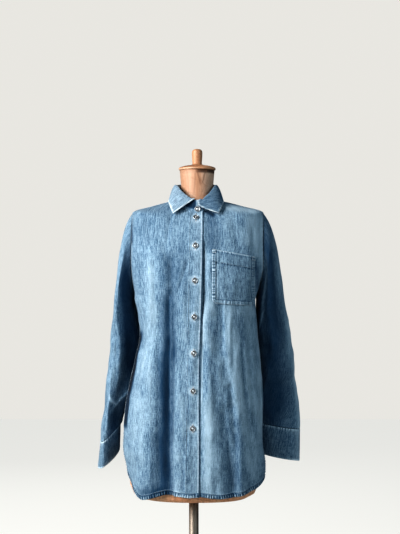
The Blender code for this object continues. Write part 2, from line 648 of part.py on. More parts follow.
def add_buttons():
    """The stand's button, seven down the placket and one on each cuff."""
    mesh = button_mesh()
    for i, z in enumerate(BUTTON_Z):
        turn, level = on_front(opening_x(np.array([z])), np.array([z]))
        place = cloth_points(turn, level, CLOTH + 3 * LAY_GAP, right_front=True)[0]
        add_button(f"button_{i + 1}", mesh, place, ring_normals(SHIRT, turn, level)[0])
    facing = Vector((0.05, -1, 0.12))
    turn = np.array([-0.8])
    share = (STAND_BUTTON_Z - 1.345) / 0.0295
    place = stand_points(turn, np.array([share]))[0]
    add_button("button_collar", mesh, Vector(place) + facing.normalized() * LAY_GAP * 2, facing)
    for name, sleeve, side in (("cuff_button_right", RIGHT_SLEEVE, -1), ("cuff_button_left", LEFT_SLEEVE, 1)):
        here, ahead, lower = (
            cuff_points(sleeve, side, np.array([CUFF_BUTTON_TURNS[side] + step]), np.array([share]))[0]
            for step, share in ((0, 0.45), (4, 0.45), (0, 0.55))
        )
        facing = side * np.cross(ahead - here, lower - here)
        facing = facing / np.linalg.norm(facing)
        add_button(name, mesh, here + facing * LAY_GAP * 3, facing)


FORM_TURNS = 28


def add_form():
    """The dress form: one closed body from its flat underside to the top of its neck."""
    levels = np.concatenate([FORM["level"][:4], np.linspace(0.72, 1.325, 13), FORM["level"][15:]])
    turn = np.arange(FORM_TURNS) * 360 / FORM_TURNS - 180
    points = ring_points(FORM, turn[None], levels[:, None])
    made = grid_object("form_torso", points, "linen", round_it=True)
    mesh = made.data
    count = len(levels) * FORM_TURNS
    low = [tuple(range(FORM_TURNS))[::-1]]
    high = [tuple(range(count - FORM_TURNS, count))]
    faces = [tuple(face.vertices) for face in mesh.polygons] + low + high
    corners = [tuple(corner.co) for corner in mesh.vertices]
    mesh.clear_geometry()
    mesh.from_pydata(corners, [], faces)
    mesh.shade_smooth()


def add_turned(name, profile, place, finish, steps):
    """A turned piece, its profile given in millimetres from its top down its outer side to its underside."""
    mesh = bpy.data.meshes.new(name)
    corners = [(r / 1000, 0, z / 1000) for r, z in profile]
    mesh.from_pydata(corners, [(i, i + 1) for i in range(len(corners) - 1)], [])
    mesh.materials.append(material(finish))
    made = bpy.data.objects.new(name, mesh)
    parts.objects.link(made)
    turned(made, steps)
    made.location = place


def add_stand():
    """The neck's turned cap with its knob, the pole, and the round base."""
    cap = (
        (0, 53), (6, 52.4), (11, 49.5), (13, 45), (12.6, 28), (11.8, 17), (14, 13.6),
        (30, 11), (42, 7.4), (46, 4.6), (46.2, 2), (44.5, 0), (0, 0),
    )
    add_turned("neck_cap", cap, (BODY_X, 0, NECK_TOP + SEAM_GAP), "beech", 28)
    edge, height = BASE_RADIUS * 1000, BASE_HEIGHT * 1000
    base = (
        (0, height), (17, height), (20, 29), (22, 22), (60, 17), (150, 12), (182, 9.5), (edge, 5), (edge, 0),
        (0, 0),
    )
    add_turned("base", base, (0, 0, 0), "iron", 40)
    length = FORM_BOTTOM - BASE_HEIGHT - 2 * SEAM_GAP
    bpy.ops.mesh.primitive_cylinder_add(
        vertices=24, radius=POLE_RADIUS, depth=length, location=(0, 0, BASE_HEIGHT + SEAM_GAP + length / 2)
    )
    pole = bpy.context.object
    pole.name = "pole"
    pole.data.materials.append(material("steel"))
    pole.data.shade_smooth()
    pole.data.set_sharp_from_angle(angle=radians(40))
    for collection in pole.users_collection:
        collection.objects.unlink(pole)
    parts.objects.link(pole)


def clear():
    """Empties the scene that the script is run in."""
    for old in list(bpy.data.objects):
        bpy.data.objects.remove(old)


clear()
parts = bpy.data.collections.new("denim_shirt")
bpy.context.scene.collection.children.link(parts)
add_panels()
add_sleeve("sleeve_right", RIGHT_SLEEVE, -1)
add_sleeve("sleeve_left", LEFT_SLEEVE, 1)
add_cuff("cuff_right", RIGHT_SLEEVE, -1)
add_cuff("cuff_left", LEFT_SLEEVE, 1)
add_collar()
add_pocket()
add_buttons()
add_form()
add_stand()
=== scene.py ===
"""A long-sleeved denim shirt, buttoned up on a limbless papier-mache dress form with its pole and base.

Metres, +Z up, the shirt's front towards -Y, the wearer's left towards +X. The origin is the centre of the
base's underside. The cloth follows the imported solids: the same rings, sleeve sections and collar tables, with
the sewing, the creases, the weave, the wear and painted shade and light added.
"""

import bpy
import numpy as np
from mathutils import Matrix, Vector


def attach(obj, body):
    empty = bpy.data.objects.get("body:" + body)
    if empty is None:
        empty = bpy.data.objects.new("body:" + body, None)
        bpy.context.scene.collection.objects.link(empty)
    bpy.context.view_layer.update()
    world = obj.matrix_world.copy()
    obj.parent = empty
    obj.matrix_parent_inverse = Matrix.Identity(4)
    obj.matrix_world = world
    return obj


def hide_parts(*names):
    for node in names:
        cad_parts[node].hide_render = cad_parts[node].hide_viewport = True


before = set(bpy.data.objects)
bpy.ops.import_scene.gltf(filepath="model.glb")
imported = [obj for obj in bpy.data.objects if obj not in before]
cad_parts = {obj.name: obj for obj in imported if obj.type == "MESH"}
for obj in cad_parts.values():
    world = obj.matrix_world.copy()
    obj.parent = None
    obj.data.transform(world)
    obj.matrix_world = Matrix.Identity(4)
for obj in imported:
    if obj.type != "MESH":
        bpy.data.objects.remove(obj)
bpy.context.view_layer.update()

# ---------------------------------------------------------------- view, light and floor
# The form is seen level, from in front of the chest. A wide soft light stands at the wearer's right, as a
# tall window would. Three faint ones fill in from the front, from behind and from the wall across the room.
# The floor and the room are plain and pale.
EYE = (0.0155, -2.75, 1.21)
IMAGE_SIZE = (400, 534)
FOCAL_IN_PIXELS = 1100
SENSOR = 36.0

camera = bpy.data.objects.new("camera", bpy.data.cameras.new("camera"))
camera.data.sensor_width = SENSOR
camera.data.lens = FOCAL_IN_PIXELS * SENSOR / max(IMAGE_SIZE)
camera.data.clip_end = 40
camera.location = EYE
camera.rotation_euler = (np.pi / 2, 0, 0)
bpy.context.scene.collection.objects.link(camera)
bpy.context.scene.camera = camera


def add_softbox(name, place, target, size, power, colour):
    """A rectangular area light that faces a point."""
    light = bpy.data.lights.new(name, "AREA")
    light.shape = "RECTANGLE"
    light.size, light.size_y = size
    light.energy = power
    light.color = colour
    box = bpy.data.objects.new(name, light)
    box.location = place
    box.rotation_euler = (Vector(target) - Vector(place)).to_track_quat("-Z", "Y").to_euler()
    bpy.context.scene.collection.objects.link(box)


WINDOW_TURN, WINDOW_AWAY, WINDOW_Z = np.radians(52.0), 2.2, 1.95
window_place = (-WINDOW_AWAY * np.sin(WINDOW_TURN), -WINDOW_AWAY * np.cos(WINDOW_TURN), WINDOW_Z)
add_softbox("window", window_place, (0, 0, 1.05), (1.2, 1.6), 80, (1.0, 0.97, 0.93))
add_softbox("front", (0.3, -3.2, 2.3), (0, 0, 1.0), (2.0, 1.4), 8, (0.80, 0.94, 1.0))
add_softbox("behind", (-0.9, 3.4, 2.2), (0, 0, 1.0), (2.4, 1.8), 14, (0.92, 0.97, 1.0))
add_softbox("far wall", (2.4, -2.2, 1.5), (0, 0, 1.1), (1.5, 1.8), 17, (0.84, 0.96, 1.0))

ROOM_COLOUR = (0.585, 0.577, 0.552, 1)
FLOOR_GLOW = 0.93
FLOOR_COLOUR = (0.38, 0.37, 0.345, 1)
SHADE_COLOUR, SHADE_STRENGTH = (0.34, 0.60, 0.82, 1), 0.09
world = bpy.data.worlds.new("room")
world.use_nodes = True
bpy.context.scene.world = world
room = world.node_tree
room.nodes.clear()
seen = room.nodes.new("ShaderNodeBackground")
seen.inputs["Color"].default_value = ROOM_COLOUR
shade = room.nodes.new("ShaderNodeBackground")
shade.inputs["Color"].default_value = SHADE_COLOUR
shade.inputs["Strength"].default_value = SHADE_STRENGTH
rays = room.nodes.new("ShaderNodeLightPath")
which = room.nodes.new("ShaderNodeMixShader")
out = room.nodes.new("ShaderNodeOutputWorld")
room.links.new(rays.outputs["Is Camera Ray"], which.inputs["Fac"])
room.links.new(shade.outputs["Background"], which.inputs[1])
room.links.new(seen.outputs["Background"], which.inputs[2])
room.links.new(which.outputs["Shader"], out.inputs["Surface"])
bpy.context.scene.view_settings.view_transform = "Standard"
bpy.context.scene.view_settings.look = "High Contrast"

FLOOR_REACH, FLOOR_Z = 6.0, -0.001
floor_mesh = bpy.data.meshes.new("floor")
floor_mesh.from_pydata(
    [(x * FLOOR_REACH, y * FLOOR_REACH, FLOOR_Z) for x, y in ((-1, -1), (1, -1), (1, 1), (-1, 1))],
    [], [(0, 1, 2, 3)])
floor = bpy.data.objects.new("floor", floor_mesh)
floor_paint = bpy.data.materials.new("pale floor")
floor_paint.use_nodes = True
painted = floor_paint.node_tree.nodes["Principled BSDF"]
painted.inputs["Base Color"].default_value = FLOOR_COLOUR
painted.inputs["Roughness"].default_value = 0.8
painted.inputs["Emission Color"].default_value = ROOM_COLOUR
glow = floor_paint.node_tree.nodes.new("ShaderNodeMath")
glow.operation = "MULTIPLY"
glow.inputs[1].default_value = FLOOR_GLOW
seen_by_eye = floor_paint.node_tree.nodes.new("ShaderNodeLightPath")
floor_paint.node_tree.links.new(seen_by_eye.outputs["Is Camera Ray"], glow.inputs[0])
floor_paint.node_tree.links.new(glow.outputs[0], painted.inputs["Emission Strength"])
floor_mesh.materials.append(floor_paint)
bpy.context.scene.collection.objects.link(floor)

# ---------------------------------------------------------------- the body: two fronts and a back
# Mid-weight washed denim, cut as two fronts and one back with no darts. The side seams and the shoulders are
# felled, and the right front laps over the left one down the middle.
CLOTH = 0.0015
SEAM_GAP = 0.0008
LAY_GAP = 0.0004
BODY_X = 0.0083
OPENING_TOP_Z, OPENING_TOP_X = 1.345, -0.0025
OPENING_HEM_Z, OPENING_HEM_X = 0.660, -0.0125
PLACKET_HALF = 0.0175
UNDER_HALF = 0.0150
UNDER_CLEAR = 0.004
OVERLAP_RAMP = 0.035
ARMPIT_LEVEL, TIP_LEVEL, NECK_LEVEL = 1.1575, 1.345, 1.453
ARMHOLE_HALF_TURN = 18.0
HEM_TOP_LEVEL = 0.80
MEAN_RADIUS = 0.15
CHEST_Z, CHEST_RAMP = 1.10, 0.12


def table(names, *rows):
    """A dict of named columns from rows of numbers."""
    return dict(zip(names.split(), np.array(rows, float).T))


def level_ring(z, *shape):
    """The row of a ring that is level all round."""
    return (z, z, z, z, *shape)


RING_COLUMNS = "level side_z front_z back_z right left front back square"

# Rings of the shirt: right and left are the wearer's half-widths, front and back the depths, and square is
# the power of the ring's outline, 2 for an ellipse.
SHIRT = table(
    RING_COLUMNS,
    level_ring(0.6, 0.167, 0.167, 0.127, 0.121, 2.3),
    level_ring(0.68, 0.1725, 0.1715, 0.128, 0.121, 2.3),
    level_ring(0.7175, 0.176, 0.175, 0.128, 0.121, 2.3),
    level_ring(0.77, 0.1835, 0.17, 0.128, 0.12, 2.3),
    level_ring(0.81, 0.183, 0.165, 0.127, 0.118, 2.3),
    level_ring(0.8675, 0.177, 0.1665, 0.126, 0.114, 2.3),
    level_ring(0.9175, 0.167, 0.1645, 0.125, 0.11, 2.3),
    level_ring(0.9775, 0.154, 0.161, 0.123, 0.105, 2.3),
    level_ring(1.0375, 0.141, 0.155, 0.121, 0.101, 2.35),
    level_ring(1.09, 0.145, 0.1495, 0.12, 0.101, 2.6),
    (1.1275, 1.1275, 1.13, 1.13, 0.151, 0.1455, 0.121, 0.103, 2.9),
    (1.1575, 1.1575, 1.161, 1.162, 0.157, 0.154, 0.122, 0.105, 2.9),
    (1.2225, 1.2225, 1.224, 1.232, 0.168, 0.168, 0.118, 0.107, 2.7),
    (1.2775, 1.2775, 1.268, 1.286, 0.172, 0.173, 0.108, 0.105, 2.45),
    (1.345, 1.344, 1.308, 1.334, 0.1605, 0.165, 0.091, 0.093, 2.3),
    (1.4, 1.3605, 1.33, 1.367, 0.112, 0.113, 0.075, 0.073, 2.2),
    (1.453, 1.3745, 1.344, 1.387, 0.0615, 0.0605, 0.063, 0.053, 2.05),
)

# The largest folds. The turn is in degrees from the centre front towards the wearer's left; outer and inner
# are the half-widths towards less and more turn, so a fold may have one long and one steep flank.
FOLDS = table(
    "turn_low turn_high z_low z_high outer inner fade rise",
    (-27.0, -26.5, 0.64, 1.19, 10.0, 2.6, 0.34, -0.0145),
    (-53.0, -52.0, 0.64, 1.12, 11.0, 9.0, 0.2, 0.005),
    (-14.0, -20.0, 0.64, 0.98, 7.0, 7.0, 0.12, 0.0035),
    (39.0, 24.0, 0.64, 0.96, 10.0, 3.8, 0.14, -0.008),
    (47.0, 42.0, 0.64, 0.9, 6.0, 7.0, 0.12, 0.002),
    (143.0, 147.0, 0.62, 1.16, 11.0, 6.0, 0.12, -0.007),
    (-141.0, -146.0, 0.62, 1.14, 6.0, 11.0, 0.12, -0.0075),
    (172.0, 176.0, 0.62, 1.1, 10.0, 8.0, 0.12, -0.006),
    (118.0, 122.0, 0.62, 1.0, 9.0, 7.0, 0.12, -0.0045),
    (-117.0, -121.0, 0.62, 1.02, 7.0, 9.0, 0.12, -0.005),
    (92.0, 92.0, 0.64, 1.17, 14.0, 14.0, 0.05, -0.004),
    (90.0, 90.0, 0.64, 0.8, 16.0, 14.0, 0.04, -0.004),
)

# The shirt-tail hem's height, by the turn from the centre front, or from the centre back for the back's.
HEM = table(
    "turn right left back",
    (0.0, 0.661, 0.663, 0.648),
    (8.0, 0.66, 0.6605, 0.648),
    (17.0, 0.662, 0.6575, 0.6485),
    (26.0, 0.6625, 0.656, 0.649),
    (33.0, 0.6632, 0.656, 0.6495),
    (40.0, 0.659, 0.6578, 0.651),
    (47.0, 0.6532, 0.6612, 0.654),
    (55.0, 0.6485, 0.6662, 0.656),
    (61.0, 0.652, 0.6712, 0.662),
    (66.0, 0.664, 0.675, 0.67),
    (72.0, 0.683, 0.6815, 0.682),
    (78.0, 0.703, 0.689, 0.7),
    (82.0, 0.74, 0.715, 0.73),
    (86.0, 0.76, 0.743, 0.755),
    (90.0, 0.774, 0.782, 0.778),
)

# Creases, each a line on the cloth seen square on: x from the body's middle and z at its two ends, the bow of
# its middle towards +x, its half-widths towards -x and +x, and how far it rises.
CREASE_COLUMNS = "x0 z0 x1 z1 bow left right rise"
RIGHT_CREASES = table(
    CREASE_COLUMNS,
    (-0.152, 1.14, -0.15, 1.065, 0.0, 0.02, 0.008, 0.004),
    (-0.1108, 1.2365, -0.109, 1.0188, 0.0, 0.016, 0.005, 0.0035),
    (-0.0682, 1.1406, -0.0696, 1.0109, 0.0, 0.009, 0.0035, -0.006),
    (-0.0708, 1.0348, -0.0718, 0.8918, 0.0, 0.012, 0.0035, -0.0055),
    (-0.0706, 0.9109, -0.0693, 0.6674, 0.0, 0.013, 0.004, -0.0055),
    (-0.0887, 1.1308, -0.094, 1.0053, 0.0, 0.005, 0.009, -0.0025),
    (-0.0952, 1.01, -0.0935, 0.6658, 0.0, 0.005, 0.01, -0.003),
    (-0.1114, 1.0091, -0.1119, 0.664, 0.0, 0.03, 0.006, 0.004),
    (-0.064, 1.24, -0.06, 1.131, 0.0, 0.011, 0.01, -0.005),
    (-0.0298, 1.1598, -0.0299, 1.0211, 0.0012, 0.012, 0.005, 0.002),
    (-0.0326, 0.7689, -0.0321, 0.6734, 0.0, 0.006, 0.0025, -0.0024),
    (-0.0226, 0.8331, -0.0238, 0.7618, 0.0, 0.005, 0.0025, -0.0022),
    (-0.0605, 1.3382, -0.0721, 1.2605, -0.0024, 0.007, 0.004, -0.0022),
    (-0.1382, 1.2221, -0.1211, 1.1059, 0.0012, 0.007, 0.004, -0.0022),
    (-0.142, 1.2221, -0.1395, 1.1736, 0.0, 0.006, 0.003, -0.0014),
    (-0.1245, 1.3344, -0.1187, 1.2851, 0.0, 0.008, 0.005, -0.0012),
    (-0.0893, 1.2848, -0.0719, 1.222, 0.0024, 0.008, 0.006, -0.0016),
    (-0.0215, 1.222, -0.0454, 1.1502, 0.0, 0.006, 0.005, -0.0018),
    (-0.0965, 1.0219, -0.0937, 0.9481, 0.0012, 0.005, 0.003, -0.0016),
    (-0.1154, 0.7942, -0.1138, 0.6638, 0.0, 0.006, 0.003, -0.0018),
    (-0.1358, 0.907, -0.1378, 0.8161, 0.0, 0.008, 0.006, -0.0012),
    (-0.0599, 1.0878, -0.0551, 1.0399, 0.0, 0.004, 0.003, -0.0012),
    (-0.0454, 1.0066, -0.0477, 0.8447, 0.0, 0.006, 0.004, -0.001),
)
LEFT_CREASES = table(
    CREASE_COLUMNS,
    (0.0165, 1.345, 0.0158, 1.27, 0.0, 0.005, 0.007, 0.0022),
    (0.0158, 1.2604, 0.0144, 1.1024, 0.0, 0.003, 0.0026, -0.005),
    (0.0144, 1.1407, 0.0077, 1.0117, 0.0, 0.003, 0.002, -0.0024),
    (0.0312, 1.2459, 0.0263, 1.088, 0.0, 0.006, 0.01, 0.003),
    (0.0215, 1.1024, 0.0215, 0.8926, 0.0024, 0.007, 0.014, 0.0035),
    (0.03, 0.93, 0.031, 0.6735, 0.0, 0.018, 0.012, 0.005),
    (0.06, 1.13, 0.062, 1.0066, 0.0, 0.015, 0.0045, -0.005),
    (0.0563, 1.0209, 0.0779, 0.9201, 0.0, 0.017, 0.008, -0.0054),
    (0.0779, 0.9273, 0.0863, 0.8672, 0.0, 0.016, 0.0055, -0.0064),
    (0.0863, 0.8768, 0.0935, 0.7713, 0.0, 0.017, 0.0055, -0.0074),
    (0.0935, 0.7808, 0.0911, 0.666, 0.0, 0.017, 0.0055, -0.0074),
    (0.064, 0.8684, 0.066, 0.6776, 0.0, 0.008, 0.008, -0.002),
    (0.08, 1.1166, 0.08, 1.0159, 0.0, 0.006, 0.014, 0.0022),
    (0.0816, 1.0203, 0.0985, 0.8833, 0.0, 0.008, 0.026, 0.0024),
    (0.0997, 0.8952, 0.1033, 0.6649, 0.0, 0.0065, 0.02, 0.0016),
    (0.0359, 0.9615, 0.0767, 0.9249, 0.0, 0.005, 0.006, 0.0018),
    (0.1098, 1.0338, 0.1182, 0.8987, 0.0, 0.007, 0.0025, -0.0028),
    (0.1182, 0.9131, 0.1306, 0.7914, 0.0012, 0.007, 0.003, -0.0028),
    (0.1287, 1.0521, 0.1333, 0.9262, 0.0, 0.006, 0.0025, -0.0024),
    (0.1333, 0.9262, 0.1435, 0.8132, 0.0, 0.006, 0.003, -0.0016),
    (0.1179, 0.7405, 0.133, 0.6609, 0.0, 0.008, 0.012, -0.003),
    (0.1443, 1.0215, 0.1488, 0.9048, 0.0, 0.006, 0.003, -0.0016),
    (0.0599, 1.222, 0.0646, 1.131, 0.0, 0.009, 0.006, 0.0012),
    (0.0872, 1.3385, 0.0939, 1.2654, 0.0, 0.012, 0.008, -0.0012),
    (0.1338, 1.3099, 0.1432, 1.2367, 0.0, 0.009, 0.005, -0.0018),
    (0.1483, 1.2319, 0.1282, 1.1495, 0.0, 0.007, 0.004, -0.003),
    (0.084, 1.0779, 0.0864, 0.958, 0.0, 0.005, 0.004, -0.0012),
    (0.06, 1.02, 0.064, 0.64, 0.0, 0.034, 0.036, 0.006),
)
BACK_CREASES = table(
    CREASE_COLUMNS,
    (-0.152, 1.14, -0.15, 1.065, 0.0, 0.02, 0.008, 0.004),
    (-0.125, 1.19, -0.07, 1.105, 0.004, 0.009, 0.006, -0.0025),
    (0.123, 1.185, 0.076, 1.09, -0.005, 0.006, 0.01, -0.0022),
    (-0.042, 1.06, -0.033, 0.89, 0.003, 0.01, 0.007, -0.002),
    (0.048, 1.03, 0.056, 0.79, -0.002, 0.008, 0.011, -0.0024),
    (-0.093, 0.98, -0.101, 0.76, 0.002, 0.012, 0.008, 0.0022),
    (0.011, 0.86, 0.015, 0.63, 0.001, 0.014, 0.01, 0.002),
    (-0.06, 0.77, -0.064, 0.63, 0.0, 0.008, 0.006, -0.0018),
    (0.092, 0.84, 0.099, 0.63, 0.001, 0.009, 0.007, 0.0022),
    (-0.03, 1.33, -0.09, 1.25, -0.004, 0.009, 0.007, -0.0014),
    (0.038, 1.325, 0.086, 1.26, 0.003, 0.007, 0.009, -0.0015),
)

# Mostly painted shade and painted light, with some fading of the indigo, in lines laid like the creases: below
# 0 darker, above 0 paler. They paint the shading of the folds, shadows under the collar leaves and beside the
# sleeves, and lit ridges.
RIGHT_PAINTED_SHADING = table(
    CREASE_COLUMNS,
    (-0.0501, 0.6622, 0.0048, 0.6594, 0.0, 0.003, 0.003, 2.0),
    (-0.0597, 0.6786, -0.031, 0.6687, 0.0, 0.0015, 0.0015, 0.6),
    (-0.113, 0.8302, -0.1082, 0.6644, 0.0, 0.012, 0.008, -0.35),
    (-0.0696, 1.2508, -0.0767, 1.1069, 0.0, 0.014, 0.012, -0.4),
    (-0.0742, 1.131, -0.0815, 0.9153, 0.0, 0.014, 0.01, -0.6),
    (-0.0791, 0.9391, -0.0814, 0.6667, 0.0, 0.014, 0.007, -0.6),
    (-0.153, 0.7901, -0.123, 0.6626, 0.0, 0.02, 0.012, -0.25),
    (-0.1503, 1.338, -0.1439, 1.1491, 0.0, 0.018, 0.014, -0.22),
    (-0.115, 1.3615, -0.0771, 1.2871, 0.0, 0.04, 0.04, -0.18),
    (-0.0622, 1.131, -0.0597, 0.8921, 0.0, 0.008, 0.01, -0.12),
    (-0.0408, 1.2628, -0.0334, 1.155, 0.0, 0.01, 0.01, -0.15),
    (-0.017, 1.3356, -0.0119, 0.7023, 0.0, 0.012, 0.012, 0.2),
    (-0.1296, 1.3395, -0.116, 1.2607, 0.0, 0.012, 0.012, -0.3),
    (-0.1108, 1.222, -0.1015, 1.053, 0.0, 0.011, 0.01, 0.28),
    (-0.0528, 1.2628, -0.0574, 0.9516, 0.0, 0.012, 0.012, -0.38),
    (-0.0338, 1.3112, -0.0287, 1.1311, 0.0, 0.014, 0.016, -0.25),
    (-0.0892, 1.2726, -0.0887, 1.1549, 0.0, 0.01, 0.01, -0.16),
    (-0.099, 1.0338, -0.0935, 0.8862, 0.0, 0.012, 0.012, -0.24),
    (-0.0959, 0.8193, -0.0984, 0.6558, 0.0, 0.014, 0.014, -0.3),
    (-0.1433, 0.6638, -0.0741, 0.6672, 0.0, 0.014, 0.014, -0.65),
    (-0.1583, 0.8085, -0.1483, 0.7046, 0.0, 0.018, 0.018, 0.22),
    # Painted shadow under the wearer's right collar leaf.
    (-0.0606, 1.3407, -0.019, 1.364, 0.0, 0.0038, 0.0032, -0.55),
    (-0.031, 0.745, -0.0262, 0.6735, 0.0, 0.01, 0.01, -0.22),
    (-0.0597, 0.8016, -0.0597, 0.7013, 0.0, 0.006, 0.006, 0.25),
    # Near-black painted shade down the body's side beside the sleeve, then painted shade at the armhole.
    (-0.1369, 1.0499, -0.1516, 0.9614, 0.0, 0.026, 0.0035, -2.0),
    (-0.1518, 0.9659, -0.1666, 0.8969, 0.0, 0.026, 0.0035, -2.0),
    (-0.1669, 0.9013, -0.1741, 0.8145, 0.0, 0.026, 0.003, -1.9),
    (-0.1612, 1.3186, -0.1573, 1.2688, 0.0, 0.006, 0.0025, -0.8),
    (-0.0073, 1.3725, -0.0001, 1.3552, 0.0, 0.004, 0.004, -0.3),
)
LEFT_PAINTED_SHADING = table(
    CREASE_COLUMNS,
    (0.0287, 0.9116, 0.0263, 0.6735, 0.0, 0.009, 0.01, 0.45),
    (0.0239, 1.1311, 0.0263, 0.9045, 0.0, 0.005, 0.007, 0.2),
    (0.034, 1.3381, 0.037, 1.2459, 0.0, 0.015, 0.02, -0.58),
    (0.0889, 1.0345, 0.1107, 0.8032, 0.0, 0.012, 0.018, 0.34),
    (0.1061, 1.087, 0.112, 0.9256, 0.0, 0.006, 0.006, -0.32),
    (0.1121, 0.9376, 0.1433, 0.7846, 0.0, 0.006, 0.006, -0.32),
    (0.1494, 1.074, 0.1586, 0.9194, 0.0, 0.003, 0.0035, 0.45),
    (0.1586, 0.9194, 0.1609, 0.7847, 0.0, 0.003, 0.0035, 0.4),
    (0.0972, 0.8618, 0.1008, 0.6651, 0.0, 0.007, 0.01, -0.6),
    (0.0149, 1.0928, 0.011, 0.9879, 0.0, 0.003, 0.003, 0.25),
    (0.011, 1.0117, 0.0105, 0.8831, 0.0, 0.0025, 0.0025, 0.9),
    (0.0239, 1.0594, 0.0239, 0.845, 0.0, 0.005, 0.006, -0.16),
    (0.0359, 1.0259, 0.0383, 0.9734, 0.0, 0.008, 0.008, 0.15),
    (0.1355, 0.7669, 0.133, 0.6706, 0.0, 0.014, 0.014, 0.15),
    (0.0604, 1.3358, 0.1283, 1.2633, 0.0, 0.02, 0.02, 0.1),
    (0.145, 1.3447, 0.148, 1.2221, 0.0, 0.015, 0.014, 0.6),
    (0.0695, 1.107, 0.079, 1.015, 0.0, 0.008, 0.009, 0.2),
    # Painted highlight along the shoulder.
    (0.0606, 1.3591, 0.1608, 1.3462, 0.0, 0.008, 0.009, 0.75),
    (0.1267, 1.3393, 0.1283, 1.2609, 0.0, 0.01, 0.012, 0.3),
    (0.0263, 1.014, 0.0454, 0.9066, 0.0, 0.016, 0.014, -0.42),
    (0.1184, 1.1278, 0.1449, 1.0895, 0.0, 0.012, 0.012, 0.35),
    (0.1312, 1.1006, 0.1405, 0.6987, 0.0, 0.026, 0.026, 0.34),
    (0.067, 1.1669, 0.084, 1.0155, 0.0, 0.03, 0.026, 0.2),
    (0.0192, 1.124, 0.0132, 1.0236, 0.0, 0.003, 0.005, 0.45),
    (0.1518, 0.9526, 0.1567, 0.7861, 0.0, 0.008, 0.01, 0.25),
    (0.1577, 1.3408, 0.1625, 1.1677, 0.0, 0.005, 0.006, 0.65),
    (0.1445, 1.2367, 0.1501, 1.1379, 0.0, 0.005, 0.005, -0.6),
    (0.0204, 1.2556, 0.0204, 1.2028, 0.0, 0.004, 0.004, 0.3),
    (0.0359, 1.1239, 0.0455, 1.0784, 0.0, 0.008, 0.008, 0.28),
    # Painted shadow under the wearer's left collar leaf.
    (0.0145, 1.3503, 0.0434, 1.3357, 0.0, 0.006, 0.005, -1.5),
)


def smooth_step(value):
    """0 below 0, 1 above 1, and 3t^2 - 2t^3 between."""
    held = np.clip(value, 0, 1)
    return held * held * (3 - 2 * held)


def through(x, knots, values):
    """A cubic through the knots, with the harmonic means of their slopes, so that it never overshoots."""
    steps = np.diff(knots)
    slopes = np.diff(values) / steps
    product = slopes[1:] * slopes[:-1]
    total = np.where(product > 0, slopes[1:] + slopes[:-1], 1)
    inner = np.where(product > 0, 2 * product / total, 0)
    at_knots = np.concatenate([slopes[:1], inner, slopes[-1:]])
    i = np.clip(np.searchsorted(knots, x) - 1, 0, len(steps) - 1)
    t = (x - knots[i]) / steps[i]
    back = 1 - t
    ends = values[i] * back**2 * (1 + 2 * t) + values[i + 1] * t**2 * (3 - 2 * t)
    return ends + steps[i] * (at_knots[i] * t * back**2 - at_knots[i + 1] * t**2 * back)


def read(rows, x, by):
    """Every column of a table at x, as a dict."""
    return {name: through(x, rows[by], column) for name, column in rows.items()}


def unit(vectors):
    """The vectors over their own lengths."""
    return vectors / np.linalg.norm(vectors, axis=-1, keepdims=True)


def ring_points(rings, turn, level):
    """Points at a turn and a level of a stack of rings |x/wide|^p + |y/deep|^p = 1, which dip by cos^2."""
    turn, level = np.broadcast_arrays(np.asarray(turn, float), np.asarray(level, float))
    if len(rings["level"]) > 1:
        row = read(rings, level, "level")
    else:
        row = {name: column[0] for name, column in rings.items()}
    across, ahead = np.sin(np.radians(turn)), np.cos(np.radians(turn))
    wide = np.where(across > 0, row["left"], row["right"])
    deep = np.where(ahead > 0, row["front"], row["back"])
    power = row["square"]
    reach = (np.abs(across / wide) ** power + np.abs(ahead / deep) ** power) ** (-1 / power)
    end_z = np.where(ahead > 0, row["front_z"], row["back_z"])
    z = row["side_z"] + (end_z - row["side_z"]) * ahead**2
    return np.stack([BODY_X + across * reach, -ahead * reach, z], -1)


def ring_normals(rings, turn, level):
    """Outward unit normals of ring_points, from its slopes along the turn and the level."""
    turn_step, level_step = 0.5, 0.001
    along = ring_points(rings, turn + turn_step, level) - ring_points(rings, turn - turn_step, level)
    up = ring_points(rings, turn, level + level_step) - ring_points(rings, turn, level - level_step)
    return unit(np.cross(along, up))


def bell(away, low, high):
    """exp(-(away / width)^2), with one width below 0 and another above."""
    return np.exp(-((away / np.where(away > 0, high, low)) ** 2))


def hump(value, middle, width):
    """exp(-((value - middle) / width)^2)."""
    return np.exp(-(((value - middle) / width) ** 2))


def fold_rise(turn, z):
    """The folds' sum: each a bell across the turn about a middle that leans with z, dying away at its top."""
    total = np.zeros(np.broadcast(turn, z).shape)
    for low, high, z_low, z_high, outer, inner, fade, rise in zip(*FOLDS.values()):
        middle = low + (high - low) * (z - z_low) / (z_high - z_low)
        away = (turn - middle + 180) % 360 - 180
        total += rise * bell(away, outer, inner) * smooth_step((z_high - z) / fade)
    return total


def crease_rise(rows, x, z):
    """The creases' sum: each a bell across a bowed line from (x0, z0) to (x1, z1), tapering past its ends."""
    total = np.zeros(x.shape)
    for x0, z0, x1, z1, bow, left, right, rise in zip(*rows.values()):
        run = np.hypot(x1 - x0, z1 - z0)
        along_x, along_z = (x1 - x0) / run, (z1 - z0) / run
        share = ((x - x0) * along_x + (z - z0) * along_z) / run
        away = (z - z0) * along_x - (x - x0) * along_z - bow * 4 * share * (1 - share)
        ends = smooth_step((share + 0.12) / 0.3) * smooth_step((1.12 - share) / 0.3)
        total += rise * bell(away, left, right) * ends
    return total


def unevenness(u, v, size, seed, stretch=1.0):
    """A soft random relief of about +-1: fourteen waves with random headings and lengths near size, drawn
    out along v."""
    draw = np.random.default_rng(seed)
    total = 0.0
    for _ in range(14):
        heading, length = draw.uniform(0, np.pi), size * draw.uniform(0.6, 1.7)
        phase = draw.uniform(0, 2 * np.pi)
        distance = u * np.cos(heading) + v * np.sin(heading) / stretch
        total = total + np.sin(2 * np.pi * distance / length + phase)
    return total / 3.8


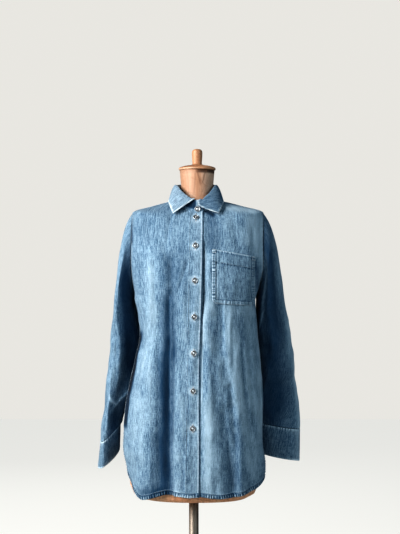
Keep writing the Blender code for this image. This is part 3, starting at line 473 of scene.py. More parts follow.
def pucker(along, pitch, seed):
    """An uneven wave along a seam: a sine whose phase and height both wander."""
    a, b, c = np.random.default_rng(seed).uniform(0, 2 * np.pi, 3)
    turns = 2 * np.pi * along / pitch
    phase = turns + 1.4 * np.sin(turns / 5.3 + a) + 0.9 * np.sin(turns / 2.7 + b)
    return np.sin(phase) * (0.68 + 0.32 * np.sin(turns / 7.1 + c))


def opening_x(z):
    """The placket's middle line, which hangs a little out of true."""
    share = (z - OPENING_HEM_Z) / (OPENING_TOP_Z - OPENING_HEM_Z)
    return OPENING_HEM_X + (OPENING_TOP_X - OPENING_HEM_X) * share


def overlap_rise(points):
    """How far the right front lies above the left one beneath it, near the opening."""
    inside = points[..., 0] - BODY_X - opening_x(points[..., 2]) + UNDER_HALF + UNDER_CLEAR + OVERLAP_RAMP
    return (CLOTH + 2 * LAY_GAP) * smooth_step(inside / OVERLAP_RAMP)


def drape(turn, points, panel):
    """How far the folds and the creases of a panel move the cloth out at points of its rings."""
    creases = {"left": LEFT_CREASES, "right": RIGHT_CREASES, "back": BACK_CREASES}[panel]
    return fold_rise(turn, points[..., 2]) + crease_rise(creases, points[..., 0] - BODY_X, points[..., 2])


def cloth_points(turn, level, out=0.0, panel="left"):
    """The shirt's outer surface: the rings, moved along their normals by the folds, the creases and out. Its
    unevenness is calmer above the chest and dies away at the hem and the neck."""
    points = ring_points(SHIRT, turn, level)
    z = points[..., 2]
    moved = drape(turn, points, panel) + out
    around = np.radians(turn) * MEAN_RADIUS
    lively = smooth_step((level - 0.62) / 0.03) * smooth_step((NECK_LEVEL + 0.01 - level) / 0.06)
    lively = lively * (1 - 0.55 * smooth_step((z - CHEST_Z) / CHEST_RAMP))
    moved = moved + lively * 0.0009 * unevenness(around, z, 0.050, 3, 2.2)
    moved = moved + lively * 0.00045 * unevenness(around, z, 0.020, 4, 2.6)
    if panel == "right":
        moved = moved + overlap_rise(points)
    return points + ring_normals(SHIRT, turn, level) * moved[..., None]


def hem_z(turn, panel):
    """The shirt-tail hem's height on one panel."""
    return through(np.minimum(np.abs(turn), 90), HEM["turn"], HEM[panel])


def front_turn(x, level):
    """The turn at which the front lies at x from the body's middle, near enough for a seam's place."""
    return np.degrees(np.arctan2(x, through(level, SHIRT["level"], SHIRT["front"])))


def on_front(x, z):
    """(turn, level) of the front's points at x from the body's middle and at height z, by Newton's method."""
    turn, level = front_turn(x, z), np.array(z, float)
    turn_step, level_step = 0.05, 0.0005
    for _ in range(12):
        here = ring_points(SHIRT, turn, level)[..., ::2]
        by_turn = (ring_points(SHIRT, turn + turn_step, level)[..., ::2] - here) / turn_step
        by_level = (ring_points(SHIRT, turn, level + level_step)[..., ::2] - here) / level_step
        miss = np.stack([x + BODY_X, z], -1) - here
        area = by_turn[..., 0] * by_level[..., 1] - by_turn[..., 1] * by_level[..., 0]
        turn = turn + (miss[..., 0] * by_level[..., 1] - miss[..., 1] * by_level[..., 0]) / area
        level = level + (miss[..., 1] * by_turn[..., 0] - miss[..., 0] * by_turn[..., 1]) / area
    return turn, level


def run_along(path):
    """The distance of each point of a path from its start."""
    return np.concatenate([[0], np.cumsum(np.linalg.norm(np.diff(path, axis=0), axis=-1))])


def weave_uv(points, middle=0, round_it=False):
    """The cloth's own flat coordinates in metres: across by arc length from the column middle, and along by
    that column's length."""
    closed = np.concatenate([points, points[:, :1]], 1) if round_it else points
    across = np.cumsum(np.linalg.norm(np.diff(closed, axis=1), axis=-1), axis=1)
    across = np.concatenate([across[:, :1] * 0, across], 1)
    across = across - across[:, middle : middle + 1]
    along = run_along(points[:, middle])
    return np.stack([across, np.broadcast_to(along[:, None], across.shape)], -1)


def add_object(name, mesh, finish):
    """An object of a smooth mesh with its finish."""
    mesh.shade_smooth()
    mesh.materials.append(finish)
    made = bpy.data.objects.new(name, mesh)
    bpy.context.scene.collection.objects.link(made)
    return made


def add_cloth(name, points, finish, wall=None, middle=0, round_it=False, flip=False, wear_and_shading=0.0, inside=None):
    """A mesh of quads through a grid of points, with its weave coordinates, its wear and painted shading and,
    where a wall is given, that thickness on its inner side."""
    rows, columns = points.shape[:2]
    uv = weave_uv(points, middle, round_it)
    i, j = np.meshgrid(np.arange(rows - 1), np.arange(columns if round_it else columns - 1), indexing="ij")
    k = (j + 1) % columns
    corners = np.stack([i * columns + j, i * columns + k, (i + 1) * columns + k, (i + 1) * columns + j], -1)
    wide = uv.shape[1]
    flat = np.stack([i * wide + j, i * wide + j + 1, (i + 1) * wide + j + 1, (i + 1) * wide + j], -1)
    corners, flat = corners.reshape(-1, 4), flat.reshape(-1, 4)
    if flip:
        corners, flat = corners[:, ::-1], flat[:, ::-1]
    mesh = bpy.data.meshes.new(name)
    mesh.vertices.add(rows * columns)
    mesh.vertices.foreach_set("co", points.astype(np.float32).ravel())
    mesh.loops.add(corners.size)
    mesh.loops.foreach_set("vertex_index", corners.astype(np.int32).ravel())
    mesh.polygons.add(len(corners))
    mesh.polygons.foreach_set("loop_start", np.arange(0, corners.size, 4, dtype=np.int32))
    mesh.update(calc_edges=True)
    weave = uv.reshape(-1, 2)[flat.ravel()].astype(np.float32)
    mesh.uv_layers.new(name="cloth").data.foreach_set("uv", weave.ravel())
    worn_and_lit = mesh.attributes.new("wear_and_shading", "FLOAT", "POINT")
    worn_and_lit.data.foreach_set("value", np.broadcast_to(wear_and_shading, (rows, columns)).astype(np.float32).ravel())
    made = add_object(name, mesh, finish)
    if wall:
        solid = made.modifiers.new("wall", "SOLIDIFY")
        solid.thickness = wall
        solid.offset = -1
        if inside:
            mesh.materials.append(inside)
            solid.material_offset = 1
    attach(made, "root")
    return made


class Graph:
    """A shader tree that is written as calls, each of which makes one node or fills one in."""

    def __init__(self, tree):
        """Works on the tree of a material or of a node group."""
        self.tree = tree

    def fill(self, node, *inputs, **named):
        """Sets a node's sockets, by their order or by name, or links what is given to them; None is left."""
        by_name = ((key.replace("_", " "), value) for key, value in named.items())
        for socket, value in [*enumerate(inputs), *by_name]:
            if isinstance(value, bpy.types.NodeSocket):
                self.tree.links.new(value, node.inputs[socket])
            elif value is not None:
                node.inputs[socket].default_value = value

    def node(self, kind, *inputs, **settings):
        """A new node. A setting whose name begins with a capital is a socket's."""
        made = self.tree.nodes.new("ShaderNode" + kind)
        named = {key: settings.pop(key) for key in list(settings) if key[0].isupper()}
        for key, value in settings.items():
            setattr(made, key, value)
        self.fill(made, *inputs, **named)
        return made

    def math(self, operation, *inputs, clamp=False):
        """One sum, product or other step on numbers."""
        return self.node("Math", *inputs, operation=operation, use_clamp=clamp).outputs[0]

    def times(self, first, second):
        """The product of two numbers."""
        return self.math("MULTIPLY", first, second)

    def mix(self, share, low, high):
        """The colour that lies a share of the way from low to high."""
        plain_numbers_and_vectors = [None] * 5
        return self.node("Mix", share, *plain_numbers_and_vectors, low, high, data_type="RGBA").outputs[2]

    def noise(self, vector, scale, detail=2.0, roughness=0.5):
        """Noise of 0 to 1 at its own number of waves a metre along x, y and z."""
        placed = self.node("Mapping", vector, Scale=scale).outputs[0]
        made = self.node("TexNoise", Vector=placed, Scale=1.0, Detail=detail, Roughness=roughness)
        return made.outputs["Fac"]

    def ramp(self, value, low, high, to_low=0.0, to_high=1.0):
        """A straight ramp from to_low, where the value is low, to to_high, and level beyond both."""
        return self.node("MapRange", value, low, high, to_low, to_high, clamp=True).outputs[0]

    def bump(self, height, strength, distance):
        """The normals of a relief."""
        return self.node("Bump", Strength=strength, Distance=distance, Height=height).outputs["Normal"]

    def place(self):
        """The point's own place in metres, as a vector and as its x, y and z."""
        whole = self.node("TexCoord").outputs["Object"]
        return whole, *self.node("SeparateXYZ", whole).outputs


def new_finish(name):
    """A new material, the graph of its tree and its shader."""
    made = bpy.data.materials.new(name)
    made.use_nodes = True
    return made, Graph(made.node_tree), made.node_tree.nodes["Principled BSDF"]


def new_group(name, inputs, outputs):
    """An empty shader node group with named sockets, and its input and output nodes."""
    group = bpy.data.node_groups.new(name, "ShaderNodeTree")
    for direction, sockets in (("INPUT", inputs), ("OUTPUT", outputs)):
        for socket, kind in sockets.items():
            group.interface.new_socket(socket, in_out=direction, socket_type="NodeSocket" + kind)
    return group, group.nodes.new("NodeGroupInput"), group.nodes.new("NodeGroupOutput")


# A dark unworn indigo, used both for unworn cloth and for painted shade, and a near-black used only for painted
# shade.
UNWORN_AND_SHADE_INDIGO, PAINTED_SHADE_BLACK = (0.005, 0.043, 0.101, 1), (0.0015, 0.0060, 0.0150, 1)


def denim_weave_group():
    """Twill ribs, slubs along and across the yarns and mottling from the wash. Its wear input carries wear and
    painted
    shading: above 0 it turns the cloth pale, as wear and as painted light; below 0 it turns the cloth back to
    its unworn indigo, as unworn cloth and as painted shade; below -1 it turns the cloth near-black, which is
    painted shade."""
    group, given, result = new_group(
        "denim weave",
        {"UV": "Vector", "Wear": "Float", "Indigo": "Color", "Washed": "Color", "Pale": "Color"},
        {"Color": "Color", "Height": "Float"},
    )
    g = Graph(group)
    uv = given.outputs["UV"]
    slub = g.noise(uv, (400, 60, 1), 2.0, 0.55)
    speckle = g.noise(uv, (430, 260, 1), 1.0, 0.5)
    streak = g.noise(uv, (150, 12, 1), 2.0, 0.5)
    weft = g.noise(uv, (36, 420, 1), 2.0, 0.5)
    mottle = g.noise(uv, (70, 48, 1), 3.0, 0.6)
    wash = g.noise(uv, (11, 9, 1), 2.0, 0.5)
    ribs = g.node("TexWave", Vector=uv, Scale=430.0, Distortion=1.2, Detail=1.0, bands_direction="DIAGONAL")
    twill = ribs.outputs[1]
    tone = g.math("MULTIPLY_ADD", slub, 2.5, -0.8)
    fields = ((speckle, 1.2), (streak, 0.7), (weft, 0.5), (mottle, 0.25), (wash, 0.35), (twill, 0.12))
    for field, weight in fields:
        tone = g.math("MULTIPLY_ADD", field, weight, g.math("ADD", tone, -0.5 * weight))
    tone = g.math("ADD", tone, 0.0, clamp=True)
    wear_and_shading = given.outputs["Wear"]
    worn_and_lit = g.math("MULTIPLY", wear_and_shading, g.ramp(mottle, 0.30, 0.62, 0.75, 1.10), clamp=True)
    unworn_and_shade = g.math("MULTIPLY", wear_and_shading, -1.0, clamp=True)
    unwashed_and_shade = g.math("ADD", g.times(wear_and_shading, -1.0), -1.0, clamp=True)
    cloth = g.mix(tone, given.outputs["Indigo"], given.outputs["Washed"])
    cloth = g.mix(worn_and_lit, cloth, given.outputs["Pale"])
    cloth = g.mix(g.times(unworn_and_shade, 0.92), cloth, UNWORN_AND_SHADE_INDIGO)
    cloth = g.mix(g.times(unwashed_and_shade, 0.95), cloth, PAINTED_SHADE_BLACK)
    height = g.times(twill, 0.35)
    for field, weight in ((slub, 0.55), (weft, 0.25), (mottle, 0.7), (speckle, 0.7)):
        height = g.math("MULTIPLY_ADD", field, weight, height)
    g.fill(result, Color=cloth, Height=height)
    return group


def denim(name, indigo, washed, pale, rough):
    """Washed denim: the weave group's colour and relief, with a faint sheen of loose fibres."""
    made, g, shader = new_finish(name)
    uv = g.node("UVMap", uv_map="cloth").outputs[0]
    wear_and_shading = g.node("Attribute", attribute_name="wear_and_shading").outputs["Fac"]
    weave = g.node("Group", node_tree=weave_group)
    g.fill(weave, UV=uv, Wear=wear_and_shading, Indigo=(*indigo, 1), Washed=(*washed, 1), Pale=(*pale, 1))
    g.fill(shader, Base_Color=weave.outputs["Color"], Roughness=rough, Specular_IOR_Level=0.25,
           Normal=g.bump(weave.outputs["Height"], 0.8, 0.0005), Sheen_Weight=0.06, Sheen_Roughness=0.5)
    return made


weave_group = denim_weave_group()
inner_denim = denim("denim wrong side", (0.200, 0.290, 0.370), (0.430, 0.540, 0.620), (0.60, 0.68, 0.74),
                    0.92)
body_denim = denim("washed denim", (0.072, 0.145, 0.230), (0.315, 0.455, 0.580), (0.50, 0.66, 0.78), 0.88)

HEM_ROWS, TORSO_ROWS, ARMHOLE_ROWS, SHOULDER_ROWS = 44, 104, 62, 26


def panel_levels():
    """The levels of a panel's rows above the hem, and how far through the armhole each lies: 0 outside it."""
    torso = np.linspace(HEM_TOP_LEVEL, ARMPIT_LEVEL, TORSO_ROWS)[:-1]
    round_turn = np.linspace(np.pi, 0, ARMHOLE_ROWS + 1)
    armhole = ARMPIT_LEVEL + (TIP_LEVEL - ARMPIT_LEVEL) * (1 + np.cos(round_turn)) / 2
    shoulder = np.linspace(TIP_LEVEL, NECK_LEVEL, SHOULDER_ROWS + 1)[1:]
    opened = np.concatenate([torso * 0, np.sin(round_turn), shoulder * 0])
    return np.concatenate([torso, armhole, shoulder]), np.abs(opened)


def side_turn(level, opened):
    """Where a panel ends on its side: the side seam, the armhole's edge or the shoulder seam."""
    reach = ring_points(SHIRT, 90.0, level)[..., 0] - BODY_X
    return 90 - ARMHOLE_HALF_TURN * opened - np.degrees(SEAM_GAP / 2 / reach)


def panel_grid(edge_turns, panel):
    """Turns and levels of a panel, whose lowest rows fan to the hem: edge_turns(level, opened) gives a row's
    turns."""
    levels, opened = panel_levels()
    turns = np.stack([edge_turns(level, share) for level, share in zip(levels, opened)])
    grid_levels = np.broadcast_to(levels[:, None], turns.shape)
    share = np.linspace(0, 1, HEM_ROWS)[:-1, None]
    hem = hem_z(turns[0] - 180 if panel == "back" else turns[0], panel)[None]
    fan_levels = hem + (HEM_TOP_LEVEL - hem) * share
    fan_turns = np.broadcast_to(turns[0], fan_levels.shape)
    return np.concatenate([fan_turns, turns]), np.concatenate([fan_levels, grid_levels])


def opening_turns(level, offsets):
    """Turns at distances from the placket's middle line, on one row."""
    z = ring_points(SHIRT, 0.0, level)[..., 2]
    return front_turn(opening_x(z) + offsets, level)


# The fronts' columns lie closest about a quarter of the way round from the opening, where the long fold is.
FRONT_COLUMNS = 98
column_share = np.linspace(0, 1, 400)
column_density = np.cumsum(1 + 1.7 * hump(column_share, 0.24, 0.16))
column_density = (column_density - column_density[0]) / (column_density[-1] - column_density[0])
graded = np.interp(np.linspace(0, 1, FRONT_COLUMNS), column_density, column_share)[1:]


def right_front_turns(level, opened):
    """The right front's columns: across beneath the placket, then round to the side."""
    under = opening_turns(level, np.linspace(PLACKET_HALF, -PLACKET_HALF, 12))
    return np.concatenate([under, under[-1] + (-side_turn(level, opened) - under[-1]) * graded])


def left_front_turns(level, opened):
    """The left front's columns, from its edge beneath the placket round to the side."""
    edge = opening_turns(level, np.linspace(-UNDER_HALF, UNDER_HALF, 11))
    return np.concatenate([edge, edge[-1] + (side_turn(level, opened) - edge[-1]) * graded])


def back_turns(level, opened):
    """The back's columns, from the wearer's left side round behind to the right."""
    side = side_turn(level, opened)
    return np.linspace(180 - side, 180 + side, 141)


SEAM_WIDE, SEAM_RISE = 0.0085, 0.0007


def worn_and_shaded_by_form(turn, flat, panel):
    """The wear and the painted shading that go with a panel's form: ridges paler and troughs darker, partly as
    wear and partly as painted shade, and the laid lines of painted shade and light.
    """
    ridges = drape(turn, flat, panel)
    wear_and_shading = np.clip(ridges * np.where(ridges > 0, 40, 45), -0.85, 0.2)
    if panel != "back":
        painted_shading = RIGHT_PAINTED_SHADING if panel == "right" else LEFT_PAINTED_SHADING
        wear_and_shading = wear_and_shading + crease_rise(painted_shading, flat[..., 0] - BODY_X, flat[..., 2])
    return wear_and_shading


def body_panel(panel, edge_turns, flip=False, middle=0):
    """One panel of the body. Its ridges are paler and its troughs darker, partly from wear and partly as
    painted shade, it carries laid lines of painted shade and light, and along its felled seams it is thicker,
    drawn up and rubbed."""
    turns, levels = panel_grid(edge_turns, panel)
    turns = np.where(turns > 180, turns - 360, turns)
    flat = ring_points(SHIRT, turns, levels)
    wear_and_shading = worn_and_shaded_by_form(turns, flat, panel)
    ends = (0, -1) if panel == "back" else (-1,)
    from_seam = np.min([np.linalg.norm(flat - flat[:, end : end + 1 or None], axis=-1) for end in ends], 0)
    seam = smooth_step((SEAM_WIDE - from_seam) / 0.002) * smooth_step((levels - 0.70) / 0.03)
    run = np.cumsum(np.linalg.norm(np.diff(flat[:, ends[0]], axis=0, prepend=flat[:1, ends[0]]), axis=-1))
    ruck = seam * pucker(run, 0.0095, len(panel))[:, None]
    points = cloth_points(turns, levels, seam * SEAM_RISE + 0.0004 * ruck, panel)
    around = np.radians(turns) * MEAN_RADIUS
    lively = 1 - 0.6 * smooth_step((levels - CHEST_Z) / CHEST_RAMP)
    wear_and_shading = wear_and_shading + 0.07 * lively * unevenness(around, levels, 0.020, 4, 2.6)
    wear_and_shading = wear_and_shading + 0.08 * lively * unevenness(around, levels, 0.055, 8, 2.0)
    wear_and_shading = wear_and_shading + 0.18 * ruck + 0.25 * smooth_step((0.002 - from_seam) / 0.002) - 0.10 * seam
    return add_cloth(f"{panel}_panel", points, body_denim, CLOTH, middle, flip=flip, wear_and_shading=wear_and_shading,
                     inside=inner_denim)


front_right = body_panel("right", right_front_turns, flip=True)
front_left = body_panel("left", left_front_turns)
back = body_panel("back", back_turns, middle=70)
for piece, node in ((front_right, "front_right"), (front_left, "front_left"), (back, "back")):
    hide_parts(node)

# ---------------------------------------------------------------- the placket
# The button band down the right front, 35 mm wide: a folded strip of the same denim, stitched down both
# edges. Its outer edge is drawn in a little at the waist, it has rubbed paler round each button, and a
# near-black line down that edge is painted shadow.
PLACKET_ROWS, PLACKET_COLUMNS = 440, 18
BUTTON_Z = (1.3275, 1.2600, 1.1775, 1.0910, 1.0040, 0.9145, 0.8250)
band_denim = denim("band denim", (0.064, 0.132, 0.212), (0.300, 0.440, 0.565), (0.54, 0.68, 0.79), 0.88)


def band_offsets(level, across):
    """How far from the opening's line the band's points lie: its outer edge is drawn in at the waist."""
    drawn_in = 0.0040 * hump(level, 0.955, 0.142)
    return across * PLACKET_HALF - drawn_in * np.clip(across, 0, 1)


across = np.concatenate([[1, 0.94, 0.88, 0.82, 0.76], np.linspace(0.66, -1, PLACKET_COLUMNS - 5)])
band_levels = np.linspace(0, 1, PLACKET_ROWS)[:, None]
bottom_turn = opening_turns(np.array([HEM_TOP_LEVEL]), across * PLACKET_HALF)
bottom = hem_z(bottom_turn, "right")[None]
band_levels = bottom + (NECK_LEVEL - bottom) * band_levels
band_turns = opening_turns(band_levels, band_offsets(band_levels, across[None]))
across = across[None]
ruck = pucker(band_levels, 0.0085, 11) * smooth_step((np.abs(across) - 0.45) / 0.45)
ruck = ruck * np.where(across > 0, 1.0, 0.8)
placket_points = cloth_points(band_turns, band_levels, CLOTH + LAY_GAP + 0.0003 * ruck, panel="right")
# A pale rubbed line, then a near-black line on the outer edge, painted shadow of the step down to the left
# front.
rubbed_edge_and_gap_shadow = 0.75 * smooth_step((across - 0.70) / 0.12) - 1.90 * smooth_step((across - 0.88) / 0.06)
placket_wear_and_shade = rubbed_edge_and_gap_shadow + 0.04 * smooth_step((-across - 0.88) / 0.1) + 0.14 * ruck + 0.10 + 0.13 * across
for z in BUTTON_Z:
    from_button = np.hypot(across * PLACKET_HALF, placket_points[..., 2] - z)
    placket_wear_and_shade = placket_wear_and_shade + 0.40 * hump(from_button, 0.0095, 0.0035)
placket = add_cloth("placket_band", placket_points, band_denim, CLOTH, flip=True, wear_and_shading=placket_wear_and_shade)
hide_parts("placket")

# ---------------------------------------------------------------- the chest pocket
# A patch pocket on the wearer's left, its top turned in twice and its lower corners cut off. Its turned edges
# have drawn up in the wash, so they are rucked, dark beside the stitching and pale on the ridges.
POCKET_INNER_X, POCKET_OUTER_X = 0.036, 0.1395
POCKET_TOP_INNER_Z, POCKET_TOP_OUTER_Z = 1.2530, 1.2350
POCKET_LOW_INNER_Z, POCKET_LOW_OUTER_Z = 1.1230, 1.1165
POCKET_CUT = 0.008
POCKET_HEM = 0.031
POCKET_OUT = CLOTH + 3 * LAY_GAP
POCKET_EDGE_THICK = 0.0009
POCKET_COLUMNS, POCKET_ROWS = 84, 100

across = np.linspace(0, 1, POCKET_COLUMNS)[None]
down = np.linspace(0, 1, POCKET_ROWS)[:, None]
x = POCKET_INNER_X + (POCKET_OUTER_X - POCKET_INNER_X) * across + 0 * down
top = POCKET_TOP_INNER_Z + (POCKET_TOP_OUTER_Z - POCKET_TOP_INNER_Z) * across
low = POCKET_LOW_INNER_Z + (POCKET_LOW_OUTER_Z - POCKET_LOW_INNER_Z) * across
low = low + POCKET_CUT * np.clip(1 - np.minimum(across, 1 - across) * 12, 0, 1)
z = top + (low - top) * down
from_side = np.minimum(x - POCKET_INNER_X, POCKET_OUTER_X - x)
from_top, from_low = top - z, z - low
from_stitched = np.minimum(from_side, from_low)
hem_row = hump(from_top, POCKET_HEM, 0.0022)
top_row = hump(from_top, 0.0030, 0.0030)
edge_zone = smooth_step((0.0095 - from_stitched) / 0.002)
run = np.where(from_side < from_low, z, x)
ruck = edge_zone * pucker(run, 0.0072, 21) + (hem_row + 0.6 * top_row) * pucker(x, 0.0085, 22)
rim = smooth_step((0.0018 - np.minimum(from_stitched, from_top)) / 0.0018)
grooves = hump(from_stitched, 0.0100, 0.0012)
hem_zone = smooth_step((POCKET_HEM - from_top) / 0.003)
pocket_out = POCKET_OUT + POCKET_EDGE_THICK * ruck + POCKET_EDGE_THICK * np.maximum(edge_zone, hem_zone)
pocket_out = pocket_out - 0.0008 * rim - 0.0006 * grooves
pocket_turn, pocket_level = on_front(x, z)
pocket_points = cloth_points(pocket_turn, pocket_level, np.maximum(pocket_out, CLOTH + LAY_GAP))
drawn = np.where(from_low < from_side, 0.45, np.where(x < 0.09, 0.85, 0.40))
drawn = drawn * (0.75 + 0.45 * unevenness(x, z, 0.020, 23))
ridge = hump(from_side, 0.0118, 0.0012) * smooth_step((from_top - 0.004) / 0.01)
top_line = hump(from_top, 0.0016, 0.0014) - 0.8 * hump(from_top, 0.0052, 0.0016)
pocket_wear = drawn * ruck + 0.55 * rim - 0.70 * grooves - 0.55 * hem_row + 0.10 * edge_zone + 0.05
pocket_wear = pocket_wear + 0.55 * ridge + 0.50 * top_line
pocket = add_cloth("chest_pocket", pocket_points, band_denim, CLOTH, flip=True, wear_and_shading=pocket_wear)
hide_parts("pocket")

# ---------------------------------------------------------------- the sleeves
# One-piece sleeves set into the armholes, with one felled seam each beneath the arm. They hang empty, so each
# has folded to an edge down its front and back.
ARMHOLE_GAP = 0.0013
CUFF_SEAM_ROW = 5
SECTION_POINT = 1.25
SLEEVE_COLUMNS = "z out back across deep twist front_drop outer_drop"
# Sections of the sleeves: out is the middle's distance from the body's centre, back its place behind the side
# seams, across and deep the half-axes before the twist, which turns the section's front inwards.
RIGHT_SLEEVE = table(
    SLEEVE_COLUMNS,
    (1.09, 0.18, 0.02, 0.0245, 0.07, -18.0, 0.0, 0.002),
    (1.0375, 0.179, 0.032, 0.034, 0.0655, -23.0, 0.0, 0.0),
    (0.9525, 0.188, 0.04, 0.032, 0.063, -22.0, 0.0, 0.0),
    (0.8925, 0.204, 0.036, 0.0255, 0.061, -16.0, 0.004, 0.006),
    (0.8475, 0.2129, 0.036, 0.0228, 0.058, -14.0, 0.008, 0.011),
    (0.7965, 0.219, 0.04, 0.0222, 0.05, -15.0, 0.012, 0.016),
    (0.7615, 0.2215, 0.043, 0.024, 0.0475, -15.0, 0.012, 0.016),
    (0.7265, 0.2243, 0.046, 0.0257, 0.046, -15.0, 0.012, 0.016),
)
LEFT_SLEEVE = table(
    SLEEVE_COLUMNS,
    (1.09, 0.1875, 0.032, 0.037, 0.07, 9.0, 0.0, 0.002),
    (1.0375, 0.1945, 0.042, 0.038, 0.064, 10.0, 0.0, 0.0),
    (0.9525, 0.2045, 0.054, 0.0345, 0.06, 28.0, 0.0, 0.0),
    (0.8925, 0.211, 0.064, 0.029, 0.056, 54.0, 0.0, 0.0),
    (0.8475, 0.2115, 0.068, 0.028, 0.054, 72.0, 0.0, 0.002),
    (0.803, 0.2145, 0.066, 0.026, 0.049, 86.0, 0.0, 0.004),
    (0.765, 0.2145, 0.064, 0.025, 0.048, 93.0, 0.0, 0.004),
    (0.724, 0.214, 0.064, 0.024, 0.0475, 98.0, 0.0, 0.004),
)
# Their creases: turn is round the sleeve from its outer side through the front, wide a half-width in degrees,
# tall a half-height in metres, and lean the degrees gained for each metre upwards.
SLEEVE_CREASES = table(
    "side turn z wide tall lean rise",
    (-1, 98.0, 1.16, 11.0, 0.05, -380.0, 0.0045),
    (-1, 117.0, 1.015, 11.0, 0.085, -110.0, 0.006),
    (-1, 112.0, 0.83, 11.0, 0.052, -200.0, 0.005),
    (-1, 150.0, 1.03, 24.0, 0.13, -110.0, -0.008),
    (-1, 142.0, 0.825, 24.0, 0.05, -200.0, -0.005),
    (-1, 60.0, 0.885, 40.0, 0.03, 900.0, -0.006),
    (-1, 130.0, 0.915, 34.0, 0.028, -700.0, -0.005),
    (-1, 30.0, 1.05, 30.0, 0.06, 260.0, -0.003),
    (-1, 100.0, 1.02, 26.0, 0.05, -240.0, -0.0025),
    (-1, 250.0, 0.93, 34.0, 0.045, 500.0, -0.005),
    (-1, 290.0, 1.06, 30.0, 0.06, -300.0, -0.0035),
    (-1, 184.0, 0.862, 42.0, 0.075, 0.0, 0.0165),
    (-1, 119.5, 0.8835, 9.0, 0.017, -1424.0, 0.0045),
    (-1, 161.0, 0.881, 9.0, 0.014, 1320.0, 0.0035),
    (1, 113.0, 1.15, 6.0, 0.052, -90.0, 0.0022),
    (1, 180.0, 0.95, 36.0, 0.068, 0.0, 0.01),
    (1, 140.0, 0.905, 30.0, 0.036, 0.0, 0.0045),
    (1, 165.0, 1.055, 34.0, 0.03, 0.0, 0.0045),
    (1, -30.0, 0.965, 40.0, 0.05, 0.0, 0.0045),
    (1, 4.0, 1.03, 40.0, 0.09, 0.0, 0.006),
    (1, 95.0, 0.99, 36.0, 0.045, 300.0, -0.0045),
    (1, 60.0, 0.9, 36.0, 0.04, -500.0, -0.004),
    (1, 30.0, 1.06, 30.0, 0.055, 260.0, -0.0028),
    (1, 140.0, 0.93, 30.0, 0.04, 420.0, -0.0035),
    (1, 250.0, 0.95, 34.0, 0.045, -450.0, -0.005),
    (1, 300.0, 1.06, 30.0, 0.06, 300.0, -0.0035),
)
SLEEVES = (("right", RIGHT_SLEEVE, -1), ("left", LEFT_SLEEVE, 1))
CAP_ROWS, ARM_ROWS, SLEEVE_TURNS = 44, 112, 132
UNDERARM_TUCK = {-1: 0.0060, 1: 0.0090}


def section_points(sleeve, side, turn, z):
    """Points round a sleeve at height z: turn 0 is its outer side, 90 its front, 180 its inner side."""
    row = read({**sleeve, "minus_z": -sleeve["z"]}, -z, "minus_z")
    c, s = np.cos(np.radians(turn)), np.sin(np.radians(turn))
    across = row["across"] * np.sign(c) * np.abs(c) ** SECTION_POINT
    deep = -row["deep"] * s
    twist = np.radians(row["twist"])
    out = across * np.cos(twist) + deep * np.sin(twist)
    back = deep * np.cos(twist) - across * np.sin(twist)
    drop = row["front_drop"] * -back / row["deep"] + row["outer_drop"] * out / row["across"]
    x = BODY_X + side * (row["out"] + out)
    return np.stack(np.broadcast_arrays(x, row["back"] + back, z - drop), -1)


def armhole_points(side, turn):
    """The armhole's edge: a round path in turn and level, 0 at the shoulder tip and 90 at the front."""
    c, s = np.cos(np.radians(turn)), np.sin(np.radians(turn))
    level = ARMPIT_LEVEL + (TIP_LEVEL - ARMPIT_LEVEL) * (1 + c) / 2
    around = 90 - ARMHOLE_HALF_TURN * s
    front = cloth_points(side * around, level, panel="left" if side > 0 else "right")
    rear = cloth_points(side * around, level, panel="back")
    return np.where((s > 0)[..., None], front, rear)


def cap_points(sleeve, side, turn, share):
    """The sleeve head: a Bezier curve at each turn, from the armhole's edge to the first full section."""
    start = armhole_points(side, turn)
    end = section_points(sleeve, side, turn, sleeve["z"][0])
    below = section_points(sleeve, side, turn, sleeve["z"][0] - 0.01)
    span = np.linalg.norm(end - start, axis=-1, keepdims=True)
    top = (1 + np.cos(np.radians(turn))) / 2
    ahead = np.sin(np.radians(turn))
    leave = unit(np.stack([side * (0.80 - 0.18 * top), -0.25 * ahead, -0.55 - 0.23 * top], -1))
    arrive = unit(below - end)
    reach = span * (0.19 + 0.06 * top)[..., None]
    first = start + leave * reach
    last = end - arrive * 0.38 * span
    begin = start + leave * ARMHOLE_GAP
    t = np.asarray(share)[..., None]
    u = 1 - t
    return begin * u**3 + first * 3 * u**2 * t + last * 3 * u * t**2 + end * t**3


def sleeve_crease_rise(rows, side, turn, z):
    """How far a sleeve's creases move it out: each a bell round and along, leaning as it climbs."""
    total = np.zeros(np.broadcast(turn, z).shape)
    for on, middle, level, wide, tall, lean, rise in zip(*rows.values()):
        if on == side:
            across = (turn - middle - lean * (z - level) + 180) % 360 - 180
            total += rise * hump(across, 0, wide) * hump(z, level, tall)
    return total


